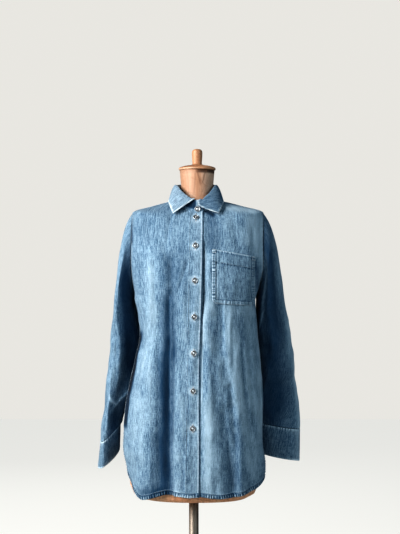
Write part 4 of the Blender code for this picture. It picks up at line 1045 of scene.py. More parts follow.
def sleeve_points(sleeve, side):
    """The whole sleeve's grid: its head, then its length down to the cuff, with its creases and a soft
    unevenness. Beneath the arm, the empty cloth is tucked in against the body."""
    turn = np.arange(SLEEVE_TURNS) * 360 / SLEEVE_TURNS
    share = np.linspace(0, 1, CAP_ROWS + 1)[:-1]
    head = cap_points(sleeve, side, turn[None], share[:, None])
    z = np.linspace(sleeve["z"][0], sleeve["z"][CUFF_SEAM_ROW] + SEAM_GAP, ARM_ROWS + 1)
    arm = section_points(sleeve, side, turn[None], z[:, None])
    points = np.concatenate([head, arm])
    outward = unit(points - points.mean(1, keepdims=True))
    row_z = np.concatenate([np.linspace(1.25, sleeve["z"][0], CAP_ROWS + 1)[:-1], z])[:, None]
    row = np.arange(len(points))[:, None]
    sewn = smooth_step(row / 9.0)
    tucked = hump(turn[None], 180, 50) * hump(row, 16, 16) * sewn
    points[..., 0] -= side * UNDERARM_TUCK[side] * tucked
    moved = sewn * sleeve_crease_rise(SLEEVE_CREASES, side, turn[None], row_z)
    angle = np.radians(turn)[None]
    lively = smooth_step((row - 2) / 14.0)
    waves = ((3, 60), (5, -90), (2, 130))
    soft = sum(np.cos(k * angle + k * 1.7 + row_z * lean) for k, lean in waves)
    fine = unevenness(np.sin(angle) * 0.05, row_z, 0.02, 31, 1.5)
    moved = moved + lively * 0.0009 * soft / 1.8 + lively * 0.0003 * fine
    return points + outward * moved[..., None]


# Painted shade and painted light on the sleeves, in the creases' own columns: darker on the sides turned from
# the light and where they tuck against the body, paler on lit edges, fold lines and rims.
SLEEVE_PAINTED_SHADING = table(
    "side turn z wide tall lean rise",
    (-1, 136.0, 1.19, 40.0, 0.07, -380.0, -1.3),
    (-1, 160.0, 1.015, 40.0, 0.11, -110.0, -0.95),
    (-1, 158.0, 0.82, 40.0, 0.064, -200.0, -0.95),
    (-1, 15.0, 1.0, 40.0, 0.3, 0.0, 0.12),
    (-1, 235.0, 0.98, 50.0, 0.24, 0.0, -0.5),
    (-1, 119.5, 0.8835, 9.0, 0.017, -1424.0, 0.8),
    (-1, 161.0, 0.881, 9.0, 0.014, 1320.0, 0.6),
    (-1, 100.0, 0.925, 20.0, 0.034, 0.0, 0.35),
    (1, 60.0, 0.99, 90.0, 0.3, 0.0, -0.8),
    (1, 152.0, 1.13, 28.0, 0.095, 0.0, -0.95),
    (1, 80.0, 1.15, 24.0, 0.11, 0.0, -0.98),
    (1, 30.0, 0.855, 42.0, 0.062, 0.0, -0.5),
    (1, 118.0, 1.162, 6.0, 0.066, -70.0, 1.85),
    (1, 127.0, 1.082, 5.0, 0.024, -520.0, 1.5),
    (1, 22.0, 1.165, 24.0, 0.06, 0.0, 0.8),
    (1, 235.0, 0.98, 60.0, 0.24, 0.0, -0.45),
    (1, 6.0, 1.055, 20.0, 0.06, -150.0, 1.3),
    (1, -22.0, 0.955, 20.0, 0.045, 300.0, 1.3),
    (1, -54.0, 0.88, 20.0, 0.045, 470.0, 1.2),
    (1, -68.0, 0.805, 20.0, 0.045, 120.0, 0.9),
)


def sleeve_wear_and_shading(side, points):
    """The sleeve's painted shading: its own lines of it, then paler ridges and darker hollows, partly wear and
    partly painted shade.
    """
    turn = np.arange(SLEEVE_TURNS)[None] * 360 / SLEEVE_TURNS
    z = points[..., 2].mean(1, keepdims=True)
    relief = sleeve_crease_rise(SLEEVE_CREASES, side, turn, z)
    creased = np.clip(relief * np.where(relief > 0, 35, 50), -0.5, 0.2)
    return np.clip(sleeve_crease_rise(SLEEVE_PAINTED_SHADING, side, turn, z) + creased, -0.95, 0.8)


for name, sleeve, side in SLEEVES:
    points = sleeve_points(sleeve, side)
    made = add_cloth(f"sleeve_{name}_cloth", points, body_denim, CLOTH, round_it=True, flip=side < 0,
                     wear_and_shading=sleeve_wear_and_shading(side, points), inside=inner_denim)
    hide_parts(f"sleeve_{name}")

# ---------------------------------------------------------------- the cuffs
# Doubled and stiffened bands, sewn over the sleeves' ends and lapped at the back, where one button closes
# each. They are rucked and rubbed along their seam and darkened all over, partly as unwashed cloth and partly
# as painted shade, the wearer's left cuff most. A paler band on each outer side is partly rubbed wear and
# partly painted light, and on the wearer's left cuff all of this is weaker away from that band.
FACED = 0.0020
CUFF_OVERLAP_TURN = 38.0
CUFF_BUTTON_TURNS = {-1: 285.0, 1: 215.0}
CUFF_ROWS, CUFF_TURNS = 40, 230


def cuff_points(sleeve, side, turn, share, out=0.0):
    """A cuff's outer surface. Its turn runs past a full round, and the last of it lies beneath the first."""
    top_z = sleeve["z"][CUFF_SEAM_ROW] - SEAM_GAP / 2
    z = top_z + (sleeve["z"][-1] - top_z) * share
    points = section_points(sleeve, side, turn, z)
    outward = unit(points - (points + section_points(sleeve, side, turn + 180, z)) / 2)
    past = (turn - CUFF_BUTTON_TURNS[side] - 360 + CUFF_OVERLAP_TURN + 24) / 24
    beneath = (FACED + LAY_GAP) * smooth_step(past)
    return points + outward * (out - beneath)[..., None]


for name, sleeve, side in SLEEVES:
    start = CUFF_BUTTON_TURNS[side] - CUFF_OVERLAP_TURN / 2
    turn = np.linspace(start, start + 360 + CUFF_OVERLAP_TURN, CUFF_TURNS + 1)[None]
    share = np.linspace(0, 1, CUFF_ROWS + 1)[:, None]
    along = np.radians(turn) * 0.042
    near_top = hump(share, 0, 0.13)
    near_rim = hump(share, 1, 0.10)
    ruck = near_top * pucker(along, 0.0068, 41 + side) + 0.7 * near_rim * pucker(along, 0.0060, 44 + side)
    points = cuff_points(sleeve, side, turn, share, 0.0004 * ruck)
    # Painted shade darkens each whole cuff, the wearer's left one more; painted light brightens a band on each
    # outer side.
    ticked, unwashed_and_shade = (0.95, 0.45) if side < 0 else (2.20, 0.62)
    edges = smooth_step((0.07 - np.minimum(share, 1 - share)) / 0.05)
    wear_and_shading = (ticked * ruck + 0.55) * near_top + 1.1 * edges - unwashed_and_shade
    lit_rubbed_turn, lit_rubbed_wide, lit_rubbed_much = (35, 42, 0.55) if side < 0 else (-68, 34, 0.95)
    outer = hump((turn - lit_rubbed_turn + 180) % 360, 180, lit_rubbed_wide)
    wear_and_shading = wear_and_shading * (0.45 + 0.55 * np.maximum(outer, side < 0)) + lit_rubbed_much * outer
    made = add_cloth(f"cuff_{name}_band", points, band_denim, FACED, flip=side < 0, wear_and_shading=wear_and_shading)
    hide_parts(f"cuff_{name}")

# ---------------------------------------------------------------- the collar
# A buttoned stand round the neck and the fall that turns down over it, both faced and stitched near the edge.
# The edges have rubbed almost white. The stand is painted dark with the leaves' shadow where it lies beneath
# them, and the wearer's left leaf is painted darker as shade.
STAND_TOP = table(
    RING_COLUMNS,
    (0.0, 1.408, 1.3705, 1.417, 0.0525, 0.046, 0.059, 0.05, 2.0),
)
STAND_START_TURN, STAND_END_TURN = 14.0, 377.0
STAND_FRONT_OUT, STAND_FRONT_DOWN, STAND_MEETING_UP = 0.0050, 0.0055, 0.0040
ROLL_HEIGHT = 0.0055
FALL_START_TURN = 6.0
FALL_EDGE = table(
    "share x y z",
    (0.0, -0.0585, -0.08, 1.339),
    (0.09, -0.065, -0.059, 1.357),
    (0.18, -0.069, -0.0345, 1.3705),
    (0.3, -0.0675, 0.012, 1.3755),
    (0.4, -0.048, 0.055, 1.3785),
    (0.5, -0.001, 0.0765, 1.374),
    (0.6, 0.0455, 0.055, 1.3785),
    (0.7, 0.0625, 0.012, 1.3755),
    (0.82, 0.064, -0.0345, 1.3705),
    (0.91, 0.0605, -0.059, 1.357),
    (1.0, 0.053, -0.08, 1.34),
)
LEFT_LEAF_BOW, RIGHT_LEAF_BOW = (-0.0075, -0.0075, -0.0195), (0.0025, -0.0015, -0.0060)
STAND_COLUMNS, STAND_ROWS = 300, 14
FALL_COLUMNS, FALL_ROWS = 380, 40


def stand_lift(turn):
    """The stand's front end lies over its other end: how far out, by the turn from where it starts."""
    return (FACED + LAY_GAP) * smooth_step((STAND_START_TURN + 45 - turn) / 22)


def stand_points(turn, share):
    """The stand's outer surface from the neckline, at share 0, to its top. The turn goes by the right."""
    foot = ring_points(SHIRT, -turn, NECK_LEVEL)
    from_front = np.abs((turn + 180) % 360 - 180)
    near_front = smooth_step((52 - from_front) / 20)[..., None]
    foot = foot + ring_normals(SHIRT, -turn, NECK_LEVEL) * STAND_FRONT_OUT * near_front
    foot[..., 2] += SEAM_GAP - STAND_FRONT_DOWN * near_front[..., 0]
    meeting = STAND_MEETING_UP * smooth_step((15 - from_front) / 8)
    top = ring_points(STAND_TOP, -turn, 0.0)
    ahead = np.clip(np.cos(np.radians(turn)), 0, 1)
    top[..., 2] += (STAND_TOP["side_z"][0] - STAND_TOP["front_z"][0]) * ahead**2 * (1 - ahead) + meeting
    share = np.asarray(share)[..., None]
    out = unit(top - np.stack([BODY_X + 0 * turn, 0 * turn, top[..., 2]], -1))
    return foot * (1 - share) + top * share + out * stand_lift(turn)[..., None]


def fall_points(share, down):
    """The fall's underside: a Bezier from the stand's top over the roll line, then out and down."""
    turn = FALL_START_TURN + (360 - 2 * FALL_START_TURN) * share
    top = stand_points(turn, 1.0 + 0 * turn)
    edge = np.stack([through(share, FALL_EDGE["share"], FALL_EDGE[axis]) for axis in "xyz"], -1)
    edge[..., 0] += BODY_X
    flat_out = edge - top
    flat_out[..., 2] = 0
    up = np.array([0, 0, 1.0])
    begin = top + up * SEAM_GAP
    first = begin + up * ROLL_HEIGHT * 1.7
    second = begin + unit(flat_out) * 0.009 + up * ROLL_HEIGHT
    t = np.asarray(down)[..., None]
    u = 1 - t
    leaf = begin * u**3 + first * 3 * u**2 * t + second * 3 * u * t**2 + edge * t**3
    share = np.asarray(share)[..., None]
    bowed = smooth_step((share - 0.95) / 0.05) * 4 * t * u
    drawn = smooth_step((0.05 - share) / 0.05) * 4 * t * u
    return leaf + bowed * np.array(LEFT_LEAF_BOW) + drawn * np.array(RIGHT_LEAF_BOW)


def grid_normals(points):
    """Unit normals of a grid of points, from the differences along its rows and columns."""
    return unit(np.cross(np.gradient(points, axis=1), np.gradient(points, axis=0)))


collar_denim = denim("collar denim", (0.064, 0.132, 0.212), (0.300, 0.440, 0.565), (0.66, 0.75, 0.81), 0.85)
turn = np.linspace(-STAND_START_TURN, STAND_END_TURN, STAND_COLUMNS + 1)[None]
share = np.linspace(0, 1, STAND_ROWS + 1)[:, None]
from_front = (turn + 180) % 360 - 180
# Where the stand lies under the leaves it is painted dark with their shadow; its top edge elsewhere is rubbed
# pale.
beneath = smooth_step((np.where(from_front > 0, from_front + 4, -from_front) - 5) / 4) + 0 * share
rim = smooth_step((share - 0.80) / 0.15)
stand_wear_and_shadow = 0.22 - (0.35 + 1.25 * smooth_step((share - 0.20) / 0.22)) * beneath + 0.45 * rim * (1 - beneath)
band = stand_points(turn, share)
stand = add_cloth("collar_stand_band", band, collar_denim, FACED, flip=True, wear_and_shading=stand_wear_and_shadow)
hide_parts("collar_stand")
along = np.linspace(0, 1, FALL_COLUMNS + 1)[None]
down = np.linspace(0, 1, FALL_ROWS + 1)[:, None]
under = fall_points(along, down)
from_end = np.minimum(along, 1 - along)
seam_run = along * 0.46
edge_zone = smooth_step((down - 0.86) / 0.14)
end_zone = smooth_step((0.03 - from_end) / 0.03)
ruck = np.maximum(edge_zone, end_zone) * pucker(seam_run + down * 0.012, 0.0070, 51)
lifted = under + grid_normals(under) * (0.0003 * (1 + ruck) * smooth_step((down - 0.5) / 0.3))[..., None]
frayed = 0.75 + 0.45 * unevenness(seam_run, down * 0.05, 0.012, 52)
rubbed = np.maximum(smooth_step((down - 0.956) / 0.040), smooth_step((0.012 - from_end) / 0.010))
rubbed = rubbed * np.clip(frayed, 0.45, 1.2)
# The wearer's left leaf is painted darker, as shade on the leaf turned from the light.
leaf_tone_and_shade = 0.11 - 0.45 * smooth_step((along - 0.75) / 0.1) + 0.04 * smooth_step((0.25 - along) / 0.1)
leaf_wear_and_shade = 1.05 * rubbed + 0.22 * ruck + leaf_tone_and_shade * (1 - rubbed)
fall = add_cloth("collar_fall_leaf", lifted, collar_denim, FACED, flip=True, wear_and_shading=leaf_wear_and_shade)
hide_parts("collar_fall")

# ---------------------------------------------------------------- the hem bands
# The shirt tails' raw edges turned up twice and stitched, 13 mm wide. The doubled edge has twisted in the
# wash, so it is roped: short slanting ridges, pale on top and dark between.
HEM_WIDE, HEM_THICK, HEM_ROPE = 0.0130, 0.0011, 0.0053
HEM_RING = 14


def hem_line(panel, start, end, pitch):
    """Turns along a panel's hem, near enough a pitch apart in metres, with their levels, their distances from
    its start, their distances from the middle of the body and the hem's slopes there."""
    turn = np.linspace(start, end, 600)
    level = hem_z(turn - 180 if panel == "back" else turn, panel)
    run = run_along(ring_points(SHIRT, turn, level))
    even = np.linspace(0, run[-1], int(run[-1] / pitch))
    turn, level = np.interp(even, run, turn), np.interp(even, run, level)
    reach = np.linalg.norm(ring_points(SHIRT, turn, level)[:, :2] - [BODY_X, 0], axis=-1)
    slope = np.gradient(level) / (np.gradient(np.radians(turn)) * reach)
    return turn, level, even, reach, slope


def from_hem(line, up):
    """Turns and levels a distance up from the hem, square to it."""
    turn, level, _, reach, slope = line
    lean = np.sqrt(1 + slope**2)
    return turn - np.degrees(up * slope / lean / reach), level + up / lean


def hem_out(panel, turn, level):
    """Where the hem's middle lies and half its thickness: double where the placket covers the front."""
    if panel != "right":
        return -CLOTH / 2 + 0 * turn, CLOTH / 2 + 0 * turn
    points = ring_points(SHIRT, turn, level)
    from_opening = np.abs(points[..., 0] - BODY_X - opening_x(points[..., 2]))
    doubled = smooth_step((PLACKET_HALF + 0.001 - from_opening) / 0.002)
    more = (CLOTH + LAY_GAP) / 2 * doubled
    return more - CLOTH / 2, CLOTH / 2 + more


def hem_band(panel, start, end):
    """The roped edge of one panel: a flattened tube round the cloth's edge, drawn to a point at each end."""
    line = hem_line(panel, start, end, 0.00095)
    around = np.linspace(0, 2 * np.pi, HEM_RING, endpoint=False)[None]
    c, s = np.cos(around), np.sin(around)
    up = HEM_WIDE / 2 - 0.0006 + HEM_WIDE / 2 * np.sign(c) * np.abs(c) ** 0.8
    run = line[2][:, None]
    twist = pucker(run + up * 0.12, HEM_ROPE, 61)
    low_part = smooth_step((0.0095 - up) / 0.0035)
    rope = np.tanh(2.4 * twist) * (0.35 + 0.65 * low_part)
    turn, level = from_hem([part[:, None] for part in line], up)
    wrapped = np.where(turn > 180, turn - 360, turn)
    middle, half = hem_out(panel, wrapped, level)
    out = middle + (half + HEM_THICK * (0.80 + 0.75 * rope)) * np.sign(s) * np.abs(s) ** 0.7
    points = cloth_points(wrapped, level, out, panel)
    from_end = np.minimum(np.arange(len(run)), np.arange(len(run))[::-1])
    closing = np.minimum(1, from_end / 2 + 0.02)[:, None, None]
    centre = points.mean(1, keepdims=True)
    points = centre + (points - centre) * closing
    tick = smooth_step((twist - 0.10) / 0.40) * low_part
    wear_and_shading = 1.75 * tick - 0.62 - 0.30 * low_part + 1.05 * smooth_step((up - HEM_WIDE + 0.0026) / 0.001)
    # The panel's wear and painted shading carry on into the band.
    wear_and_shading = wear_and_shading + 0.8 * worn_and_shaded_by_form(wrapped, ring_points(SHIRT, wrapped, level), panel)
    if panel == "right":
        points, wear_and_shading = points[::-1], wear_and_shading[::-1]
    return add_cloth(f"hem_{panel}_band", points, band_denim, round_it=True, flip=True, wear_and_shading=wear_and_shading)


seam_turn = 90 - np.degrees(SEAM_GAP / 0.18)
right_edge, left_edge = (float(opening_turns(np.array([OPENING_HEM_Z]), np.array([offset]))[0])
                         for offset in (PLACKET_HALF, -UNDER_HALF))
hem_ends = {"right": (right_edge, -seam_turn), "left": (left_edge, seam_turn),
            "back": (180 - seam_turn, 180 + seam_turn)}
hems = {panel: hem_band(panel, *ends) for panel, ends in hem_ends.items()}

# ---------------------------------------------------------------- the stitching
# Lock stitches in a stout pale thread, about three to the centimetre: single along the hem, the collar and
# the cuffs, double on the felled seams and round the pocket.
STITCH_PITCH, STITCH_LENGTH, THREAD_RADIUS = 0.0034, 0.0025, 0.00033


def capsules(starts, ends, radius):
    """Corners and faces of short rounded threads from starts to ends: three rings of five and two tips."""
    count = len(starts)
    along = unit(ends - starts)
    aside = unit(np.cross(along, np.array([0.31, 0.17, 0.93])))
    third = np.cross(along, aside)
    turn = np.arange(5) * 2 * np.pi / 5
    ring = (np.cos(turn)[:, None, None] * aside + np.sin(turn)[:, None, None] * third).transpose(1, 0, 2)
    middles = starts[:, None] + (ends - starts)[:, None] * np.array([0.16, 0.5, 0.84])[None, :, None]
    rings = middles[:, :, None] + ring[:, None] * (radius * np.array([0.85, 1.0, 0.85]))[None, :, None, None]
    corners = np.concatenate([starts[:, None], rings.reshape(count, 15, 3), ends[:, None]], 1)
    k = np.arange(5)
    n = (k + 1) % 5
    tip = np.stack([0 * k, 1 + k, 1 + n, 0 * k], -1)
    sides = [np.stack([1 + 5 * r + k, 6 + 5 * r + k, 6 + 5 * r + n, 1 + 5 * r + n], -1) for r in (0, 1)]
    tail = np.stack([0 * k + 16, 11 + n, 11 + k, 0 * k + 16], -1)
    return corners, tip[:, :3], np.concatenate(sides), tail[:, :3]


def add_threads(name, starts, ends, radius, finish):
    """One piece of many short threads."""
    corners, tips, sides, tails = capsules(starts, ends, radius)
    shift = (np.arange(len(starts)) * corners.shape[1])[:, None, None]
    three = np.concatenate([(tips + shift).reshape(-1, 3), (tails + shift).reshape(-1, 3)])
    four = (sides + shift).reshape(-1, 4)
    mesh = bpy.data.meshes.new(name)
    mesh.from_pydata(corners.reshape(-1, 3).tolist(), [], three.tolist() + four.tolist())
    made = add_object(name, mesh, finish)
    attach(made, "root")
    return made


def stitches(path, pitch=STITCH_PITCH, length=STITCH_LENGTH):
    """Starts and ends of stitches spaced evenly along a path of points."""
    run = run_along(path)
    begin = np.arange(pitch / 2, run[-1] - length, pitch)
    at = np.stack([begin, begin + length], 1)
    return np.stack([np.interp(at, run, path[:, axis]) for axis in range(3)], -1)


def cotton(name, dark, light):
    """Spun thread: a fine twist and a little soiling."""
    made, g, shader = new_finish(name)
    place = g.place()[0]
    soil = g.noise(place, (160, 160, 160), 2.0, 0.6)
    twist = g.noise(place, (2600, 2600, 1400), 1.0, 0.5)
    g.fill(shader, Base_Color=g.mix(soil, (*dark, 1), (*light, 1)), Roughness=0.8,
           Normal=g.bump(twist, 0.4, 0.0001))
    return made


thread = cotton("stitching thread", (0.24, 0.31, 0.38), (0.52, 0.59, 0.64))
SET = 0.00015
SEWN_POCKET_OUT = POCKET_OUT + POCKET_EDGE_THICK + SET
rows = []

# Both edges of the placket.
levels_down = np.linspace(0.672, NECK_LEVEL - 0.004, 500)[:, None]
for share in (0.81, -0.83):
    turn = opening_turns(levels_down, band_offsets(levels_down, np.array([[share]])))
    rows.append(cloth_points(turn, levels_down, CLOTH + LAY_GAP + 2 * SET, "right")[:, 0])
# The hems.
for panel, (start, end) in hem_ends.items():
    line = hem_line(panel, start * 0.98 if panel != "back" else start, end, 0.003)
    turn, level = from_hem(line, HEM_WIDE - 0.0022)
    wrapped = np.where(turn > 180, turn - 360, turn)
    middle, half = hem_out(panel, wrapped, level)
    rows.append(cloth_points(wrapped, level, middle + half + HEM_THICK + SET, panel)[3:-3])
# The side seams, the armholes and the shoulders: two rows on each panel's edge.
levels, opened = panel_levels()
start = np.searchsorted(levels, 0.81)
for panel, side in (("right", -1), ("left", 1), ("back", 1), ("back", -1)):
    edge = np.array([side_turn(level, share) for level, share in zip(levels[start:], opened[start:])])
    reach = np.linalg.norm(ring_points(SHIRT, side * edge, levels[start:])[:, :2] - [BODY_X, 0], axis=-1)
    for inset in (0.0020, 0.0070):
        inner = edge - np.degrees(inset / reach)
        turn = side * (180 - inner) if panel == "back" else side * inner
        rows.append(cloth_points(turn, levels[start:], SEAM_RISE + SET, panel)[2:-3])
# The pocket: two rows round its sides and bottom, one below its hem.
for inset in (0.0018, 0.0078):
    left_x, right_x = POCKET_INNER_X + inset, POCKET_OUTER_X - inset
    low_in, low_out = POCKET_LOW_INNER_Z + inset, POCKET_LOW_OUTER_Z + inset
    cut = 0.007
    outline = np.array([
        (left_x, POCKET_TOP_INNER_Z), (left_x, low_in + cut), (left_x + cut, low_in),
        (right_x - cut, low_out), (right_x, low_out + cut), (right_x, POCKET_TOP_OUTER_Z)])
    run = run_along(outline)
    even = np.linspace(0.001, run[-1] - 0.003, 240)
    turn, level = on_front(np.interp(even, run, outline[:, 0]), np.interp(even, run, outline[:, 1]))
    rows.append(cloth_points(turn, level, SEWN_POCKET_OUT))
x = np.linspace(POCKET_INNER_X + 0.002, POCKET_OUTER_X - 0.002, 120)
share = (x - POCKET_INNER_X) / (POCKET_OUTER_X - POCKET_INNER_X)
top = POCKET_TOP_INNER_Z + (POCKET_TOP_OUTER_Z - POCKET_TOP_INNER_Z) * share
turn, level = on_front(x, top - POCKET_HEM + 0.002)
rows.append(cloth_points(turn, level, SEWN_POCKET_OUT))
# The sleeves' felled seams beneath the arm.
for _, sleeve, side in SLEEVES:
    grid = sleeve_points(sleeve, side)
    outward = unit(grid - grid.mean(1, keepdims=True))
    for column in (SLEEVE_TURNS // 2, SLEEVE_TURNS // 2 + 3):
        rows.append((grid + outward * SET)[6:-4, column])
# The cuffs: below their seam, above their lower edge and along their lapped end.
for _, sleeve, side in SLEEVES:
    button_turn = CUFF_BUTTON_TURNS[side]
    turn = np.linspace(button_turn - CUFF_OVERLAP_TURN / 2 + 3, button_turn + 336, 420)
    for share in (0.055, 0.90):
        rows.append(cuff_points(sleeve, side, turn, share + 0 * turn, 0.0004 + SET + 0 * turn))
    share = np.linspace(0.06, 0.94, 60)
    rows.append(cuff_points(sleeve, side, turn[0] + 3 + 0 * share, share, 0.0004 + SET + 0 * share))
# The collar: one row in from the fall's edges, and one along each edge of the stand.
LEAF_INSET, LEAF_DOWN = 0.016, 0.86
leaf_share = np.linspace(LEAF_INSET, 1 - LEAF_INSET, 500)
down_share = np.linspace(0.12, LEAF_DOWN, 60)
leaf = [(0 * down_share + LEAF_INSET, down_share), (leaf_share, 0 * leaf_share + LEAF_DOWN),
        (0 * down_share + 1 - LEAF_INSET, down_share[::-1])]
for along, down in leaf:
    here, beside = fall_points(along, down), fall_points(along + 0.002, down)
    below = fall_points(along, down + 0.01)
    outward = -unit(np.cross(beside - here, below - here))
    rows.append(here + outward * (FACED + 0.0006 + SET))
turn = np.linspace(2 - STAND_START_TURN, STAND_END_TURN - 12, 400)
for share in (0.10, 0.90):
    foot = stand_points(turn, share + 0 * turn)
    from_axis = unit((foot - [BODY_X, 0, 0]) * [1, 1, 0])
    rows.append(foot + from_axis * SET)

pairs = np.concatenate([stitches(row) for row in rows])
add_threads("seam_stitches", pairs[:, 0], pairs[:, 1], THREAD_RADIUS, thread)

# Bar tacks at the pocket's top corners, close zigzags across the two rows.
TACK_INSET, TACK_HALF, TACK_TALL, TACK_THREADS = 0.0048, 0.0042, 0.0020, 14
tacks = []
for corner_x, top_z in ((POCKET_INNER_X + TACK_INSET, POCKET_TOP_INNER_Z),
                        (POCKET_OUTER_X - TACK_INSET, POCKET_TOP_OUTER_Z + 0.0008)):
    for drop in (0.0018, 0.0080):
        x = corner_x - TACK_HALF + 2 * TACK_HALF * np.arange(TACK_THREADS) / (TACK_THREADS - 1)
        high = top_z - drop + 0 * x
        turn, level = on_front(np.stack([x, x + 0.0004]), np.stack([high, high - TACK_TALL]))
        tacks.append(cloth_points(turn, level, POCKET_OUT + 0.0012).transpose(1, 0, 2))
tacks = np.concatenate(tacks)
add_threads("pocket_bar_tacks", tacks[:, 0], tacks[:, 1], 0.00038, thread)

# ---------------------------------------------------------------- the buttonholes and the buttons
# Seven buttons down the placket and one each on the stand and the cuffs: stamped metal with a rolled rim and
# a dark sunk ring, sewn on with a cross of pale thread. The buttonholes are corded and upright.
STAND_FOOT_Z, STAND_DEPTH = 1.3450, 0.0295
STAND_BUTTON_TURN, STAND_BUTTON_Z = -0.8, 1.3530
CROSS_HALF, CROSS_SHIFT, CROSS_UP = 0.0018, 0.00038, 0.00225
# A button's outline as radius and height from its back. Inside the rim, its face starts at point FACE_FIRST.
BUTTON_PROFILE = np.array([
    (0.00001, 0.0), (0.0058, 0.0), (0.0067, 0.0006), (0.0071, 0.0014), (0.0068, 0.0022), (0.0061, 0.0026),
    (0.0055, 0.0023), (0.0050, 0.0014), (0.0040, 0.0011), (0.0032, 0.0013), (0.0026, 0.0017),
    (0.0012, 0.0019), (0.00001, 0.0019)])
FACE_FIRST, SUNK_OUTER, SUNK_INNER, SUNK_RAMP = 6, 0.0062, 0.0022, 0.0008
BUTTON_STEPS = 40


def add_solid(name, points, finish):
    """A closed body through rings of points, its first and last rings closed by fans to their middles."""
    rows, columns = points.shape[:2]
    i, j = np.meshgrid(np.arange(rows - 1), np.arange(columns), indexing="ij")
    k = (j + 1) % columns
    quads = np.stack([i * columns + j, i * columns + k, (i + 1) * columns + k, (i + 1) * columns + j], -1)
    faces = quads.reshape(-1, 4).tolist()
    low, high = rows * columns, rows * columns + 1
    last = (rows - 1) * columns
    faces += [(low, (n + 1) % columns, n) for n in range(columns)]
    faces += [(high, last + n, last + (n + 1) % columns) for n in range(columns)]
    corners = np.concatenate([points.reshape(-1, 3), points[:1].mean(1), points[-1:].mean(1)])
    mesh = bpy.data.meshes.new(name)
    mesh.from_pydata(corners.tolist(), [], faces)
    made = add_object(name, mesh, finish)
    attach(made, "root")
    return made


def frame_at(facing):
    """Three unit vectors: aside, upwards and the facing itself."""
    facing = unit(np.asarray(facing, float))
    aside = unit(np.cross([0, 0, 1.0], facing))
    return aside, np.cross(facing, aside), facing


def button_metal():
    """Stamped metal, bright on the rim and blackened in the sunk ring, freckled where the plating is worn."""
    made, g, shader = new_finish("button metal")
    place = g.place()[0]
    depth = g.node("Attribute", attribute_name="sunk").outputs["Fac"]
    freckles = g.noise(place, (900, 900, 900), 3.0, 0.6)
    black = g.math("MULTIPLY_ADD", freckles, 0.5, g.math("MULTIPLY_ADD", depth, 1.2, -0.35), clamp=True)
    colour = g.mix(black, (0.56, 0.58, 0.60, 1), (0.060, 0.075, 0.092, 1))
    g.fill(shader, Base_Color=colour, Roughness=g.ramp(freckles, 0.35, 0.65, 0.26, 0.46), Metallic=0.75,
           Normal=g.bump(freckles, 0.3, 0.0001))
    return made


silver = button_metal()
around = np.arange(BUTTON_STEPS) * 2 * np.pi / BUTTON_STEPS
face_radius = BUTTON_PROFILE[:, 0] * (np.arange(len(BUTTON_PROFILE)) >= FACE_FIRST)
sunk = smooth_step((SUNK_OUTER - face_radius) / SUNK_RAMP)
sunk = sunk * smooth_step((face_radius - SUNK_INNER) / SUNK_RAMP)
cross_starts, cross_ends = [], []


def add_button(name, place, facing, node, blackened=0.75):
    """A button whose back is at a place, with its cross of thread; it stands for the node."""
    aside, up, ahead = frame_at(facing)
    radius, height = BUTTON_PROFILE.T
    ring = np.cos(around)[:, None] * aside + np.sin(around)[:, None] * up
    points = place + ring[None] * radius[:, None, None] + ahead * height[:, None, None]
    made = add_solid(name, points, silver)
    dark = made.data.attributes.new("sunk", "FLOAT", "POINT")
    values = np.concatenate([np.repeat(sunk, BUTTON_STEPS), [0, 0]]) * blackened
    dark.data.foreach_set("value", values.astype(np.float32))
    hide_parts(node)
    top = place + ahead * CROSS_UP
    for lean in (45, 135):
        along = np.cos(np.radians(lean)) * aside + np.sin(np.radians(lean)) * up
        across = np.cross(ahead, along)
        for shift in (-CROSS_SHIFT, CROSS_SHIFT):
            cross_starts.append(top - along * CROSS_HALF + across * shift)
            cross_ends.append(top + along * CROSS_HALF + across * shift)


def front_button_place(z):
    """Where a button sits on the placket and which way it faces."""
    turn, level = on_front(np.array(opening_x(z)), np.array(z))
    facing = ring_normals(SHIRT, turn, level)
    return cloth_points(turn, level, CLOTH + 3 * LAY_GAP, "right"), facing


for number, z in enumerate(BUTTON_Z, 1):
    place, facing = front_button_place(z)
    add_button(f"front_button_{number}", place, facing, f"button_{number}")
facing = unit(np.array([0.05, -1, 0.12]))
button_share = (STAND_BUTTON_Z - STAND_FOOT_Z) / STAND_DEPTH
place = stand_points(np.array(STAND_BUTTON_TURN), button_share) + facing * LAY_GAP * 2
add_button("collar_button_metal", place, facing, "button_collar", 0.55)
for name, sleeve, side in SLEEVES:
    turn = np.array(CUFF_BUTTON_TURNS[side])
    here, ahead = cuff_points(sleeve, side, turn, 0.45), cuff_points(sleeve, side, turn + 4, 0.45)
    below = cuff_points(sleeve, side, turn, 0.55)
    facing = unit(side * np.cross(ahead - here, below - here))
    add_button(f"cuff_{name}_button_metal", here + facing * LAY_GAP * 3, facing, f"cuff_button_{name}")
white = cotton("button thread", (0.50, 0.55, 0.60), (0.78, 0.81, 0.83))
add_threads("button_threads", np.array(cross_starts), np.array(cross_ends), 0.00045, white)

# The buttonholes' cords: short stitches set square round an upright slot.
HOLE_HALF, HOLE_WIDE, HOLE_SLOT, HOLE_STITCHES = 0.0102, 0.0017, 0.0005, 52
hole_starts, hole_ends = [], []
for z in BUTTON_Z:
    angle = np.arange(HOLE_STITCHES) / HOLE_STITCHES * 2 * np.pi
    aside = np.sign(np.cos(angle)) * np.abs(np.cos(angle)) ** 0.35
    x = opening_x(z) + aside * np.array([[HOLE_SLOT], [HOLE_WIDE]])
    up = z + np.sin(angle) * np.array([[HOLE_HALF - 0.0009], [HOLE_HALF]])
    turn, level = on_front(x, up)
    ends = cloth_points(turn, level, CLOTH + LAY_GAP + 0.0004, "right")
    hole_starts.append(ends[0])
    hole_ends.append(ends[1])
add_threads("buttonhole_stitches", np.concatenate(hole_starts), np.concatenate(hole_ends), 0.00036, white)

